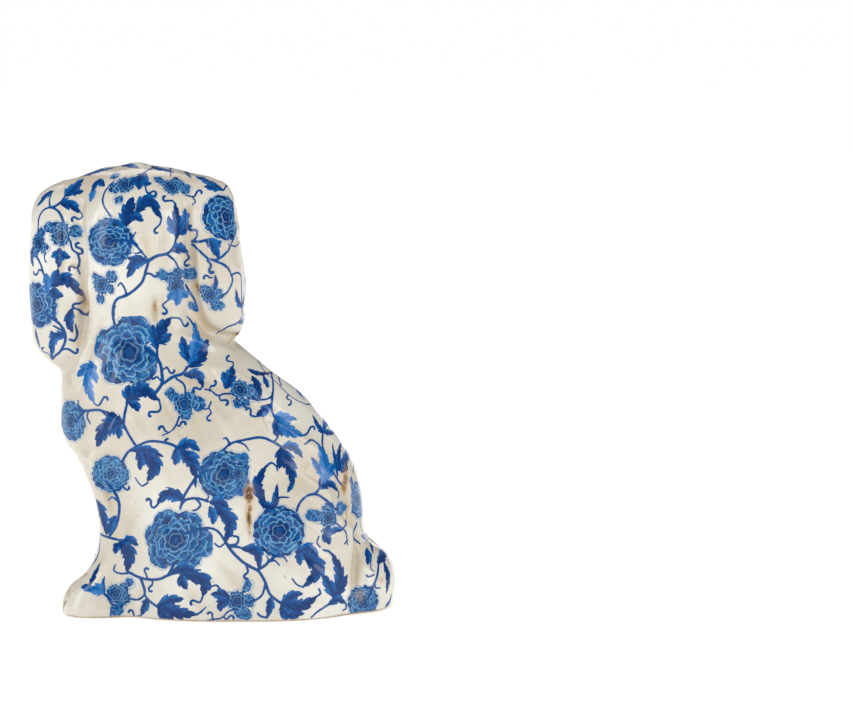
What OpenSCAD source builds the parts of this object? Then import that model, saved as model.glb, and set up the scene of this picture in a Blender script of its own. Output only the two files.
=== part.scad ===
// Seated spaniel figurine of hollow glazed earthenware, made the way the old
// press-moulded mantelpiece dogs are made: mould halves, ears, legs and tail are
// formed apart and luted together, and a base plate with a vent closes the bottom.
// +Z is up, the chest is at +X, the tail at -X, the plain back of the group at +Y
// and the face at -Y. The origin is on the resting plane, under the middle.

/* [Figure] */
// Height of the whole figure
figure_h = 290; // [220:5:380]
// Thickness of the clay wall of the hollow mouldings
wall = 5; // [4:0.5:7]
// Height of the joint between the body and the head
neck_h = 180; // [176:1:188]

/* [Base] */
// Thickness of the plate that closes the bottom
base_t = 5; // [4:0.5:8]
// Diameter of the vent hole in the base plate
vent_d = 22; // [10:1:40]

/* [Collar] */
// Height of the collar band
collar_h = 11; // [8:0.5:16]
// How far the collar stands out from the neck
collar_relief = 3; // [2:0.5:4]
// Width of the padlock below the collar
lock_w = 17; // [12:1:22]

/* [Smoothness] */
// Points around each cross-section of the body and the head
around = 52; // [32:4:64]
// Distance between the cross-sections
layer = 4.8; // [4:0.2:8]

/* [Hidden] */

drawn_h = 290;              // height that every shape below is drawn at
s = figure_h / drawn_h;
glaze = "ivory";
cobalt = "royalblue";
biscuit = "tan";
seam_y = 0;                 // plane where the front and back halves meet
big = 400 * s;              // larger than the figure
head_x = 47;                // middle of the head
small_around = 32;          // points around the ears, legs and tail
sink = 1.5;                 // how far the cavity is cut past the bottom of the shells
eye_apart = 17;             // from the middle of the head to each eye
eye_z = 244;

// Cross-sections by height: [z, x low, x high, y low, y high, squareness].
// Body, neck and head are one run of sections, cut at the neck joint.
TRUNK = [
    [0,   -99,   67,  -47, 54,  2.7],
    [18,  -98.5, 66,  -46, 53,  2.7],
    [41,  -98.5, 65,  -45, 52,  2.6],
    [65,  -97,   66,  -43, 50,  2.5],
    [82,  -95,   74.4, -42, 48.5, 2.5],
    [91,  -92,   80.4, -42, 48,  2.4],
    [100, -87.6, 90.4, -42, 47,  2.4],
    [110, -80.4, 97,  -41.5, 46, 2.4],
    [120, -73,   99.6, -41, 45,  2.4],
    [138, -58,   99,  -40, 43,  2.4],
    [153, -39,   98,  -39, 41,  2.3],
    [167, -22,   93,  -38, 39,  2.3],
    [180, -7,    88,  -36, 37,  2.3],
    [195, 4,     86,  -36, 37,  2.3],
    [215, 5,     88,  -39, 39,  2.25],
    [240, 5,     89,  -41, 41,  2.25],
    [258, 5,     89,  -40, 38,  2.25],
    [270, 8,     86,  -36, 33,  2.2],
    [279, 17,    79,  -29, 26,  2.2],
    [285, 29,    69,  -20, 18,  2.1],
    [288.5, 40,  56,  -10, 9,   2.0],
    [290, 44,    51,  -3,  3,   2.0]];

LEFT_EAR = [
    [154, 90,  97,    -8,  8,  2.0],
    [158, 84,  101.5, -14, 15, 2.0],
    [164, 79,  109,   -19, 21, 2.1],
    [172, 76,  115,   -22, 26, 2.2],
    [185, 75,  117,   -23, 28, 2.3],
    [205, 75,  117.5, -23, 29, 2.3],
    [230, 74,  117.5, -22, 29, 2.3],
    [248, 73,  116,   -21, 27, 2.3],
    [260, 72,  114.5, -19, 24, 2.3],
    [269, 71,  110.5, -16, 20, 2.2],
    [274.5, 70, 104,  -13, 15, 2.1],
    [278.5, 68, 95,   -8,  9,  2.0]];

RIGHT_EAR = [
    [171, -1,    6,   -8,  8,  2.0],
    [175, -12,   12,  -14, 15, 2.0],
    [181, -18.5, 17,  -19, 21, 2.1],
    [190, -21,   20,  -22, 26, 2.2],
    [203, -22, 21,    -23, 28, 2.3],
    [219, -21.5, 21,  -23, 29, 2.3],
    [236, -19.5, 21,  -22, 29, 2.3],
    [251, -17.5, 21,  -21, 27, 2.3],
    [263, -16, 22,    -19, 24, 2.3],
    [271, -13.5, 24,  -16, 19, 2.2],
    [277, -9,    26,  -12, 14, 2.1],
    [280.5, 0,   28,  -7,  8,  2.0]];

LEFT_LEG = [
    [0,   50, 97.5, 5,  45,  2.6],
    [5,   50, 98,   4,  46,  2.6],
    [11,  50, 97,   4,  45,  2.5],
    [16,  50, 94,   5,  44,  2.5],
    [22,  50, 87,   6,  43,  2.4],
    [28,  50, 81,   7,  42,  2.3],
    [37,  50, 76,   7,  42,  2.3],
    [53,  50, 73,   7,  42,  2.3],
    [68,  52, 74,   8,  42,  2.3],
    [82,  56, 77,   10, 41,  2.3],
    [94,  62, 81,   14, 38,  2.2],
    [102, 70, 81,   19, 33,  2.0]];

RIGHT_LEG = [
    [0,   52, 92,  -54,   -16, 2.5],
    [6,   51, 92,  -56,   -14, 2.5],
    [13,  52, 90.5, -55,  -14, 2.4],
    [20,  54, 86.5, -51,  -14, 2.3],
    [28,  56, 83.5, -47.5, -14, 2.3],
    [42,  56, 81,  -46,   -14, 2.3],
    [64,  56, 80,  -46.5, -14, 2.3],
    [86,  57, 82,  -48,   -15, 2.3],
    [108, 59, 86,  -49,   -17, 2.2],
    [124, 63, 86,  -47,   -20, 2.1],
    [134, 69, 81,  -43,   -26, 2.0]];

// The root of the tail is an upright lobe at the rump.
TAIL_ROOT = [
    [0,   -116.5, -60, -24, 34, 2.3],
    [8,   -118, -60, -24, 34, 2.3],
    [17,  -118.5, -60, -24, 34, 2.3],
    [25,  -116.5, -60, -22, 32, 2.3],
    [31,  -112,  -62, -19, 30, 2.2],
    [36,  -105,  -66, -15, 27, 2.1],
    [40,  -100,  -72, -9,  22, 2.0],
    [44,  -94,   -80, 0,   14, 2.0]];

// The hind foot lies along the base: sections by x, [x, y low, y high, z low, z high, squareness].
HIND_PAW = [
    [-30, -52,   -30, 2,  18, 2.0],
    [-18, -54,   -28, 0,  23, 2.2],
    [0,   -55,   -27, -4, 22, 2.2],
    [16,  -55.5, -27, -4, 21, 2.2],
    [30,  -55,   -27, -4, 20, 2.2],
    [39,  -52,   -30, -2, 17, 2.1],
    [44,  -47,   -35, 3,  11, 2.0]];

// The muzzle stands out towards the viewer: [-y, x low, x high, z low, z high, squareness].
MUZZLE = [
    [24, 21, 73, 195, 243, 2.1],
    [36, 23, 71, 197, 238, 2.1],
    [44, 27, 67, 200, 232, 2.2],
    [51, 31, 63, 202, 228, 2.2],
    [55, 35, 59, 205, 225, 2.1],
    [57, 41, 53, 210, 221, 2.0]];

// Middle line of the tail and its radius: from the root it turns to the front and lies
// up the thigh.
TAIL = [
    [-92, 8,   20, 18],
    [-96.5, -14, 18.5, 18.5],
    [-88, -31, 24.5, 16.5],
    [-78.5, -40, 36.5, 15],
    [-74, -43, 52, 13],
    [-72, -44, 66, 10],
    [-73, -43, 77, 4]];

TAIL_SIDE = [1, 0, -0.5];   // a direction that the tail never runs along

function row_of(t, z, i = 0) = i < len(t) - 2 && t[i + 1][0] < z ? row_of(t, z, i + 1) : i;
function slope(t, i, c) =
    let (a = max(i - 1, 0), b = min(i + 1, len(t) - 1))
    (t[b][c] - t[a][c]) / (t[b][0] - t[a][0]);
// Smooth value of column c at z, through the rows of a table.
function at(t, z, c) =
    let (i = row_of(t, z), h = t[i + 1][0] - t[i][0], u = (z - t[i][0]) / h)
    (1 + 2 * u) * pow(1 - u, 2) * t[i][c] + u * pow(1 - u, 2) * h * slope(t, i, c)
    + u * u * (3 - 2 * u) * t[i + 1][c] + u * u * (u - 1) * h * slope(t, i + 1, c);
function signed_pow(v, e) = sign(v) * pow(abs(v), e);
// One cross-section as flat points [a, b], shrunk by inset on every side.
function outline(t, z, n, inset = 0) =
    let (a0 = at(t, z, 1) + inset, a1 = at(t, z, 2) - inset,
         b0 = at(t, z, 3) + inset, b1 = at(t, z, 4) - inset, e = 2 / at(t, z, 5))
    [for (k = [0:n - 1])
        [(a0 + a1) / 2 + (a1 - a0) / 2 * signed_pow(cos(360 * k / n), e),
         (b0 + b1) / 2 + (b1 - b0) / 2 * signed_pow(sin(360 * k / n), e)]];
// Evenly spaced heights of the sections from lo to hi.
function levels(lo, hi, step) =
    let (n = ceil((hi - lo) / step))
    [for (k = [0:n]) lo + (hi - lo) * k / n];

// Closed solid through rings of equal length, listed in order along its axis.
module skin(rings) {
    n = len(rings[0]);
    m = len(rings);
    points = [for (r = rings) each r];
    sides = [for (j = [0:m - 2], k = [0:n - 1]) each
        let (a = j * n + k, b = j * n + (k + 1) % n) [[a, a + n, b], [b, a + n, b + n]]];
    polyhedron(points, concat(sides,
        [[for (k = [0:n - 1]) k]], [[for (k = [n - 1:-1:0]) (m - 1) * n + k]]), convexity = 6);
}

module upright(t, lo, hi, n, step, inset = 0)
    scale(s) skin([for (z = levels(lo, hi, step)) [for (p = outline(t, z, n, inset / s)) [p[0], p[1], z]]]);

function top_of(t) = t[len(t) - 1][0];
module trunk(grow = 0) upright(TRUNK, base_t / s, drawn_h, around, layer, -grow);
module cavity() upright(TRUNK, base_t / s - sink, drawn_h - wall / s - 4, small_around, 7, wall);
module left_ear_form() upright(LEFT_EAR, LEFT_EAR[0][0], top_of(LEFT_EAR), small_around, 5);
module right_ear_form() upright(RIGHT_EAR, RIGHT_EAR[0][0], top_of(RIGHT_EAR), small_around, 5);
module left_leg_form() upright(LEFT_LEG, base_t / s, top_of(LEFT_LEG), small_around, 6);
module right_leg_form() upright(RIGHT_LEG, base_t / s, top_of(RIGHT_LEG), small_around, 6);

module hind_paw_form() intersection() {
    scale(s) skin([for (x = levels(-30, 44, 5)) [for (p = outline(HIND_PAW, x, 24)) [x, p[0], p[1]]]]);
    translate([-big / 2, -big / 2, base_t]) cube(big);
}

// Round sweep along the tail's middle line.
function tail_at(u) =
    let (t = [for (k = [0:len(TAIL) - 1]) concat([k], TAIL[k])])
    [for (c = [1:4]) at(t, u, c)];
function unit(v) = v / norm(v);
function tail_ring(u) =
    let (here = tail_at(u), fore = tail_at(min(u + 0.1, len(TAIL) - 1)), rear = tail_at(max(u - 0.1, 0)),
         dir = unit([for (c = [0:2]) fore[c] - rear[c]]),
         side = unit(cross(dir, TAIL_SIDE)), up = cross(dir, side))
    [for (k = [0:23]) [here[0], here[1], here[2]] + here[3] * (cos(15 * k) * side + sin(15 * k) * up)];
module tail_form() {
    intersection() {
        scale(s) skin([for (u = levels(0, len(TAIL) - 1, 0.35)) tail_ring(u)]);
        translate([-big / 2, -big / 2, base_t]) cube(big);
    }
    upright(TAIL_ROOT, base_t / s, top_of(TAIL_ROOT), small_around, 5);
}

// The rounded thigh that stands out on the front of the body.
module haunch() intersection() {
    scale(s) translate([-43, -30, 48]) rotate([0, -12, 0]) scale([48, 25, 52]) sphere(1, $fn = 40);
    translate([-big / 2, -big / 2, base_t]) cube(big);
}

module muzzle() scale(s)
    skin([for (t = levels(24, 57, 4)) [for (p = outline(MUZZLE, t, small_around)) [p[0], -t, p[1]]]]);

module eyes() scale(s) for (side = [-1, 1])
    translate([head_x + side * eye_apart, -32, eye_z]) scale([10, 11, 8]) sphere(1, $fn = 24);

module back_half() translate([-big / 2, seam_y, -1]) cube([big, big, big]);
module front_half() translate([-big / 2, seam_y - big, -1]) cube([big, big, big]);
module above_neck() translate([-big / 2, -big / 2, neck_h * s]) cube(big);
module below_neck() translate([-big / 2, -big / 2, neck_h * s - big]) cube(big);

module collar_band() intersection() {
    trunk(collar_relief);
    translate([head_x * s, 0, (neck_h - 1) * s - collar_h]) rotate([-10, -5, 0])
        translate([-51 * s, -big, 0]) cube([91 * s, big - 10 * s, collar_h]);
}

module lock_form() translate([(head_x - 1) * s, -39.5 * s, 146 * s]) rotate([-4, 0, 0]) {
    hull() for (dx = [-1, 1], dz = [-1, 1])
        translate([dx * lock_w * 0.3, 3, dz * lock_w * 0.28]) rotate([90, 0, 0])
            cylinder(d1 = lock_w * 0.42, d2 = lock_w * 0.34, h = 8, $fn = 24);
    translate([0, -1, lock_w * 0.45]) rotate([90, 0, 0])
        rotate_extrude(angle = 180, $fn = 32) translate([lock_w * 0.27, 0]) circle(d = 3.4, $fn = 16);
}

// A no-op resize: the shapes inside are joined as one mesh.
module joined() resize([0, 0, 0]) children();

module body_back_shell() color(glaze) joined() difference() {
    intersection() { trunk(); back_half(); below_neck(); }
    cavity();
}
module body_front_shell() color(glaze) joined() difference() {
    intersection() { union() { trunk(); haunch(); } front_half(); below_neck(); }
    cavity();
}
module head_back_shell() color(glaze) joined() difference() {
    intersection() { trunk(); back_half(); above_neck(); }
    cavity();
}
module face_shell() color(glaze) joined() difference() {
    intersection() { union() { trunk(); muzzle(); eyes(); } front_half(); above_neck(); }
    cavity();
}
module left_ear() color(cobalt) joined() difference() { left_ear_form(); trunk(); }
module right_ear() color(cobalt) joined() difference() { right_ear_form(); trunk(); }
module left_foreleg() color(glaze) joined() difference() { left_leg_form(); trunk(); }
module right_foreleg() color(glaze) joined() difference() { right_leg_form(); trunk(); left_leg_form(); }
module right_hind_paw() color(glaze) joined() difference() {
    hind_paw_form(); trunk(); haunch(); right_leg_form();
}
module tail() color(cobalt) joined() difference() { tail_form(); trunk(); haunch(); }
module collar() color(cobalt) joined() difference() {
    collar_band(); trunk(); left_ear_form(); right_ear_form(); right_leg_form();
}
module padlock() color(cobalt) joined() difference() { lock_form(); trunk(); collar_band(); }

// Outline of a piece where it stands on the base plate.
module footprint(t, n) linear_extrude(base_t) scale(s) polygon(outline(t, base_t / s, n));
module base_plate() color(biscuit) difference() {
    union() {
        footprint(TRUNK, around);
        footprint(LEFT_LEG, small_around);
        footprint(RIGHT_LEG, small_around);
        footprint(TAIL_ROOT, small_around);
        // under the hind paw
        scale([s, s, 1]) hull() for (x = [-12, 30])
            translate([x, -42, 0]) cylinder(r = 11, h = base_t, $fn = 32);
    }
    translate([0, 0, -1]) cylinder(d = vent_d, h = base_t + 2, $fn = 64);
}

body_back_shell();
body_front_shell();
head_back_shell();
face_shell();
left_ear();
right_ear();
left_foreleg();
right_foreleg();
right_hind_paw();
tail();
base_plate();
collar();
padlock();
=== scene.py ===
import math
import random

import bmesh
import bpy
import numpy as np
import openvdb
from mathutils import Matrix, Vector, noise


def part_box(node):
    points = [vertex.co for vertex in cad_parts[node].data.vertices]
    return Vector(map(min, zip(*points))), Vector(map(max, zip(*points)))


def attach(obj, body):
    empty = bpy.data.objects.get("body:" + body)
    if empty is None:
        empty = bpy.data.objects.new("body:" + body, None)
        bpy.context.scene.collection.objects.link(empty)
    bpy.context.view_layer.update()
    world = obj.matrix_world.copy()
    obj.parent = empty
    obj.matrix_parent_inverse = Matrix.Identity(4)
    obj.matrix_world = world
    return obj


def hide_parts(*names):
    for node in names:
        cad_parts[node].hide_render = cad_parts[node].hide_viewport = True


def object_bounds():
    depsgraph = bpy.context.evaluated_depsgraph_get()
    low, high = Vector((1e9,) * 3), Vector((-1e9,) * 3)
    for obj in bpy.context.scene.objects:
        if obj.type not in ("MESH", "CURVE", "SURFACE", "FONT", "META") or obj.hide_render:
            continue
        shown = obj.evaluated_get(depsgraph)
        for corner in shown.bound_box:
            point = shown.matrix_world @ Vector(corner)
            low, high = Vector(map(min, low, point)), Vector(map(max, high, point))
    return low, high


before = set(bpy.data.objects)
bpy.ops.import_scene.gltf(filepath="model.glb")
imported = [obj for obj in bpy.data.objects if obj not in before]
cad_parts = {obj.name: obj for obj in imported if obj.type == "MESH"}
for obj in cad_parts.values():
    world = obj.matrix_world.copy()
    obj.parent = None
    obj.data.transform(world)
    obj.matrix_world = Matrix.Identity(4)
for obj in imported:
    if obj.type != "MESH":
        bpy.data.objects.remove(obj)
cad_low, cad_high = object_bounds()

# The figure is sculpted in millimetres of a 290 mm high dog and scaled to the CAD height at the end.
MM = (cad_high.z - cad_low.z) / 290.0
BASE_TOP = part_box("base_plate")[1].z / MM
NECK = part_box("face_shell")[0].z / MM
HEAD_X = 47.0
WALL = 4.5                              # between the glazed skin and the plain skin inside
CELL = (NECK - BASE_TOP) / 125.0        # grid step, so that the seams fall on rows of vertices
FAR = 40.0                              # distance given to points out of a form's reach
EYES_APART = 17.0                       # from the middle of the head to each eye
EYE_Z = 244.0
DEPTH = 2.1                             # how strongly the folds of the coat are modelled
VENT_RADIUS = 11.0
PIT_TOP = 9.0                           # how deep the vent is cut into the solid form
NOSE_Z = 221.5
LONGEST_CURL = 16.0                     # tendrils longer than this end without a curl

# Staging, in metres and Blender's units of light.
WORLD_LIGHT = 0.70                      # of the surroundings, on the figure
WORLD_MIRRORED = 0.12                   # of the surroundings, as the glaze mirrors them
FLOOR_WHITE = 0.97
FLOOR_GLOW = 0.32                       # keeps the far floor as pale as the near floor
FLOOR_REACH = 40.0                      # from the middle of the floor to its edges
LIGHT_POWER = 10.0
VIEW_WIDTH = 0.556                      # width of the scene that the camera takes in at the figure
CAMERA_DISTANCE = 1.5
CAMERA_PITCH = math.radians(9)          # how steeply the camera looks down
CAMERA_AIM = Vector((-0.139, 0, 0.1615))


# ---------------------------------------------------------------- forms of the dog

# Cross-sections: [along, low a, high a, low b, high b, squareness]
TRUNK = [
    [0, -99, 67, -47, 54, 2.7], [18, -98.5, 66, -46, 53, 2.7], [41, -98.5, 65, -45, 52, 2.6],
    [65, -97, 66, -43, 50, 2.5], [82, -95, 74.4, -42, 48.5, 2.5], [91, -92, 80.4, -42, 48, 2.4],
    [100, -87.6, 90.4, -42, 47, 2.4], [110, -80.4, 97, -41.5, 46, 2.4],
    [120, -73, 99.6, -41, 45, 2.4], [138, -58, 99, -40, 43, 2.4],
    [153, -39, 98, -39, 41, 2.3], [167, -22, 93, -38, 39, 2.3], [180, -7, 88, -36, 37, 2.3],
    [195, 4, 86, -36, 37, 2.3], [215, 5, 88, -39, 39, 2.25], [240, 5, 89, -41, 41, 2.25],
    [258, 5, 89, -40, 38, 2.25], [270, 8, 86, -36, 33, 2.2], [279, 17, 79, -29, 26, 2.2],
    [285, 29, 69, -20, 18, 2.1], [288.5, 40, 56, -10, 9, 2.0], [290, 44, 51, -3, 3, 2.0]]
LEFT_EAR = [
    [154, 90, 97, -8, 8, 2.0], [158, 84, 101.5, -14, 15, 2.0], [164, 79, 109, -19, 21, 2.1],
    [172, 76, 115, -22, 26, 2.2], [185, 75, 117, -23, 28, 2.3], [205, 75, 117.5, -23, 29, 2.3],
    [230, 74, 117.5, -22, 29, 2.3], [248, 73, 116, -21, 27, 2.3], [260, 72, 114.5, -19, 24, 2.3],
    [269, 71, 110.5, -16, 20, 2.2], [274.5, 70, 104, -13, 15, 2.1], [278.5, 68, 95, -8, 9, 2.0]]
RIGHT_EAR = [
    [171, -1, 6, -8, 8, 2.0], [175, -12, 12, -14, 15, 2.0], [181, -18.5, 17, -19, 21, 2.1],
    [190, -21, 20, -22, 26, 2.2], [203, -22, 21, -23, 28, 2.3], [219, -21.5, 21, -23, 29, 2.3],
    [236, -19.5, 21, -22, 29, 2.3], [251, -17.5, 21, -21, 27, 2.3], [263, -16, 22, -19, 24, 2.3],
    [271, -13.5, 24, -16, 19, 2.2], [277, -9, 26, -12, 14, 2.1], [280.5, 0, 28, -7, 8, 2.0]]
LEFT_LEG = [
    [0, 50, 97.5, 5, 45, 2.6], [5, 50, 98, 4, 46, 2.6], [11, 50, 97, 4, 45, 2.5],
    [16, 50, 94, 5, 44, 2.5], [22, 50, 87, 6, 43, 2.4], [28, 50, 81, 7, 42, 2.3],
    [37, 50, 76, 7, 42, 2.3], [53, 50, 73, 7, 42, 2.3], [68, 52, 74, 8, 42, 2.3],
    [82, 56, 77, 10, 41, 2.3], [94, 62, 81, 14, 38, 2.2], [102, 70, 81, 19, 33, 2.0]]
RIGHT_LEG = [
    [0, 52, 92, -54, -16, 2.5], [6, 51, 92, -56, -14, 2.5], [13, 52, 90.5, -55, -14, 2.4],
    [20, 54, 86.5, -51, -14, 2.3], [28, 56, 83.5, -47.5, -14, 2.3], [42, 56, 81, -46, -14, 2.3],
    [64, 56, 80, -46.5, -14, 2.3], [86, 57, 82, -48, -15, 2.3], [108, 59, 86, -49, -17, 2.2],
    [124, 63, 86, -47, -20, 2.1], [134, 69, 81, -43, -26, 2.0]]
HIND_PAW = [
    [-30, -52, -30, 2, 18, 2.0], [-18, -54, -28, 0, 23, 2.2], [0, -55, -27, -4, 22, 2.2],
    [16, -55.5, -27, -4, 21, 2.2], [30, -55, -27, -4, 20, 2.2], [39, -52, -30, -2, 17, 2.1],
    [44, -47, -35, 3, 11, 2.0]]
MUZZLE = [
    [24, 21, 73, 195, 243, 2.1], [36, 23, 71, 197, 238, 2.1], [44, 27, 67, 200, 232, 2.2],
    [51, 31, 63, 202, 228, 2.2], [55, 35, 59, 205, 225, 2.1], [57, 41, 53, 210, 221, 2.0]]
TAIL_ROOT = [
    [0, -116.5, -60, -24, 34, 2.3], [8, -118, -60, -24, 34, 2.3], [17, -118.5, -60, -24, 34, 2.3],
    [25, -116.5, -60, -22, 32, 2.3], [31, -112, -62, -19, 30, 2.2], [36, -105, -66, -15, 27, 2.1],
    [40, -100, -72, -9, 22, 2.0], [44, -94, -80, 0, 14, 2.0]]
TAIL = [
    [-92, 8, 20, 18], [-96.5, -14, 18.5, 18.5], [-88, -31, 24.5, 16.5],
    [-78.5, -40, 36.5, 15], [-74, -43, 52, 13], [-72, -44, 66, 10], [-73, -43, 77, 4]]


def smooth_rows(rows, count=300):
    """The table's rows and every value between them on a smooth curve: (positions, columns)."""
    rows = np.array(rows, float)
    t = rows[:, 0]
    slopes = np.empty_like(rows)
    slopes[1:-1] = (rows[2:] - rows[:-2]) / (t[2:] - t[:-2])[:, None]
    slopes[0] = (rows[1] - rows[0]) / (t[1] - t[0])
    slopes[-1] = (rows[-1] - rows[-2]) / (t[-1] - t[-2])
    fine = np.linspace(t[0], t[-1], count)
    i = np.clip(np.searchsorted(t, fine, side="right") - 1, 0, len(t) - 2)
    h = (t[i + 1] - t[i])[:, None]
    u = (fine - t[i])[:, None] / h
    curve = ((1 + 2 * u) * (1 - u) ** 2 * rows[i] + u * (1 - u) ** 2 * h * slopes[i]
             + u * u * (3 - 2 * u) * rows[i + 1] + u * u * (u - 1) * h * slopes[i + 1])
    return fine, curve


class Loft:
    """A form with a rounded-square section that changes along one axis."""

    def __init__(self, rows, axes=(0, 1, 2), sign=1.0):
        self.t, curve = smooth_rows(rows)
        self.axes, self.sign = axes, sign
        a0, a1, b0, b1, self.power = curve[:, 1:].T
        self.mid_a, self.mid_b = (a0 + a1) / 2, (b0 + b1) / 2
        self.rad_a, self.rad_b = (a1 - a0) / 2, (b1 - b0) / 2
        self.slopes = [np.gradient(c, self.t) for c in (self.mid_a, self.rad_a, self.mid_b, self.rad_b)]
        low = np.array([a0.min(), b0.min(), self.t[0]])
        high = np.array([a1.max(), b1.max(), self.t[-1]])
        self.low, self.high = np.empty(3), np.empty(3)
        for k, axis in enumerate(axes):
            ends = sorted((low[k], high[k])) if k < 2 or sign > 0 else sorted((-low[k], -high[k]))
            self.low[axis], self.high[axis] = ends

    def distance(self, p):
        a, b, t = p[:, self.axes[0]], p[:, self.axes[1]], self.sign * p[:, self.axes[2]]
        at = np.clip(t, self.t[0], self.t[-1])
        ma, mb, ra, rb, e = (np.interp(at, self.t, c)
                             for c in (self.mid_a, self.mid_b, self.rad_a, self.rad_b, self.power))
        dma, dra, dmb, drb = (np.interp(at, self.t, c) for c in self.slopes)
        u, v = (a - ma) / ra, (b - mb) / rb
        au, av = np.abs(u) + 1e-6, np.abs(v) + 1e-6
        rho = (au ** e + av ** e) ** (1 / e)
        gu, gv = np.sign(u) * (au / rho) ** (e - 1), np.sign(v) * (av / rho) ** (e - 1)
        gt = gu * (-dma - u / rho * dra) / ra + gv * (-dmb - v / rho * drb) / rb
        slope = np.sqrt((gu / ra) ** 2 + (gv / rb) ** 2 + gt ** 2) + 1e-4
        d = (rho - 1) / slope
        beyond = np.abs(t - (self.t[0] + self.t[-1]) / 2) - (self.t[-1] - self.t[0]) / 2
        inside = np.maximum(d, beyond)
        return np.where(beyond > 0, np.hypot(np.maximum(d, 0), beyond), inside)


class Ellipsoid:
    """An ellipsoid, tilted in the XZ plane by an angle in degrees."""

    def __init__(self, centre, radii, tilt=0.0):
        self.centre, self.radii = np.array(centre, float), np.array(radii, float)
        c, s = math.cos(math.radians(tilt)), math.sin(math.radians(tilt))
        self.turn = np.array([[c, 0, s], [0, 1, 0], [-s, 0, c]])
        reach = self.radii.max() if tilt else self.radii
        self.low, self.high = self.centre - reach, self.centre + reach

    def distance(self, p):
        q = (p - self.centre) @ self.turn.T
        k0 = np.linalg.norm(q / self.radii, axis=1)
        k1 = np.linalg.norm(q / self.radii ** 2, axis=1)
        return k0 * (k0 - 1) / np.maximum(k1, 1e-6)


class Sweep:
    """A round tube of changing radius along a smooth line: rows of [x, y, z, radius]."""

    def __init__(self, rows, count=40):
        numbered = [[k] + list(r) for k, r in enumerate(rows)]
        self.line = smooth_rows(numbered, count)[1][:, 1:]
        self.low = (self.line[:, :3] - self.line[:, 3:]).min(0)
        self.high = (self.line[:, :3] + self.line[:, 3:]).max(0)

    def distance(self, p):
        d = np.full(len(p), 1e3)
        for (ax, ay, az, ar), (bx, by, bz, br) in zip(self.line[:-1], self.line[1:]):
            a, ab = np.array([ax, ay, az]), np.array([bx - ax, by - ay, bz - az])
            u = np.clip((p - a) @ ab / (ab @ ab), 0, 1)
            d = np.minimum(d, np.linalg.norm(p - a - u[:, None] * ab, axis=1) - (ar + u * (br - ar)))
        return d


def measured(form, p, reach=16.0):
    """The form's distance at the points near it, FAR at the others."""
    d = np.full(len(p), FAR)
    near = np.all((p > form.low - reach) & (p < form.high + reach), axis=1)
    if near.any():
        d[near] = np.minimum(form.distance(p[near]), FAR)
    return d


def join(d1, d2, k):
    """Union with a rounded inner corner of size k."""
    h = np.maximum(k - np.abs(d1 - d2), 0) / k
    return np.minimum(d1, d2) - h * h * k / 4


def carve(d1, d2, k):
    """The first form less the second, with a rounded edge of size k."""
    return -join(-d1, d2, k)


FORMS = {
    "trunk": Loft(TRUNK),
    "left_ear": Loft(LEFT_EAR),
    "right_ear": Loft(RIGHT_EAR),
    "left_foreleg": Loft(LEFT_LEG),
    "right_foreleg": Loft(RIGHT_LEG),
    "right_hind_paw": Loft(HIND_PAW, axes=(1, 2, 0)),
    "muzzle": Loft(MUZZLE, axes=(0, 2, 1), sign=-1.0),
    "tail": Sweep(TAIL),
    "tail_root": Loft(TAIL_ROOT),
    "haunch": Ellipsoid((-43, -30, 48), (48, 25, 52), 12),
}


def eye_form(side):
    return Ellipsoid((HEAD_X + side * EYES_APART, -31, EYE_Z), (8.5, 9.5, 6.6))


EYES = [eye_form(side) for side in (-1, 1)]
BROWS = [Ellipsoid((HEAD_X + side * EYES_APART, -31, EYE_Z + 9), (12, 9, 4.5)) for side in (-1, 1)]
NOSE = Ellipsoid((HEAD_X, -51, NOSE_Z), (7.5, 5.6, 5.6))


def whole(p):
    """Signed distance to the dog, without its fine relief."""
    d = measured(FORMS["trunk"], p)
    d = join(d, measured(FORMS["haunch"], p), 7)
    d = join(d, measured(FORMS["left_foreleg"], p), 12)
    d = join(d, measured(FORMS["right_foreleg"], p), 6)
    d = join(d, measured(FORMS["right_hind_paw"], p), 5)
    tail = join(measured(FORMS["tail"], p), measured(FORMS["tail_root"], p), 8)
    d = join(d, tail, 7)
    d = join(d, measured(FORMS["muzzle"], p), 9)
    for brow, eye in zip(BROWS, EYES):
        d = join(d, measured(brow, p), 6)
        d = join(d, measured(eye, p), 1.5)
    d = join(d, measured(NOSE, p), 2.5)
    top = np.clip((p[:, 2] - 262) / 25, 0, 1)
    ears = np.minimum(measured(FORMS["left_ear"], p), measured(FORMS["right_ear"], p))
    return join(d, ears, 5 + 11 * top)


def floor_cut(d, p):
    """The resting face, with its rounded edge and the vent hole."""
    d = -join(-d, p[:, 2], 2.2)
    vent = np.maximum(np.hypot(p[:, 0], p[:, 1]) - VENT_RADIUS, p[:, 2] - PIT_TOP)
    return carve(d, vent, 1.6)


def surface(p):
    return floor_cut(whole(p), p)


# ---------------------------------------------------------------- from the field to a mesh

def near_field(distance, axes, block=5):
    """The field on a grid, exact near the surface and of the right sign elsewhere."""
    rough_axes = [a[block // 2::block] for a in axes]
    rough = distance(np.stack(np.meshgrid(*rough_axes, indexing="ij"), -1).reshape(-1, 3))
    rough = rough.reshape([len(a) for a in rough_axes])
    index = [np.minimum(np.arange(len(a)) // block, len(r) - 1) for a, r in zip(axes, rough_axes)]
    field = rough[np.ix_(*index)].astype(np.float32)
    i, j, k = np.nonzero(np.abs(field) < block * CELL * 1.6)
    field[i, j, k] = distance(np.stack([axes[0][i], axes[1][j], axes[2][k]], 1))
    return field


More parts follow.
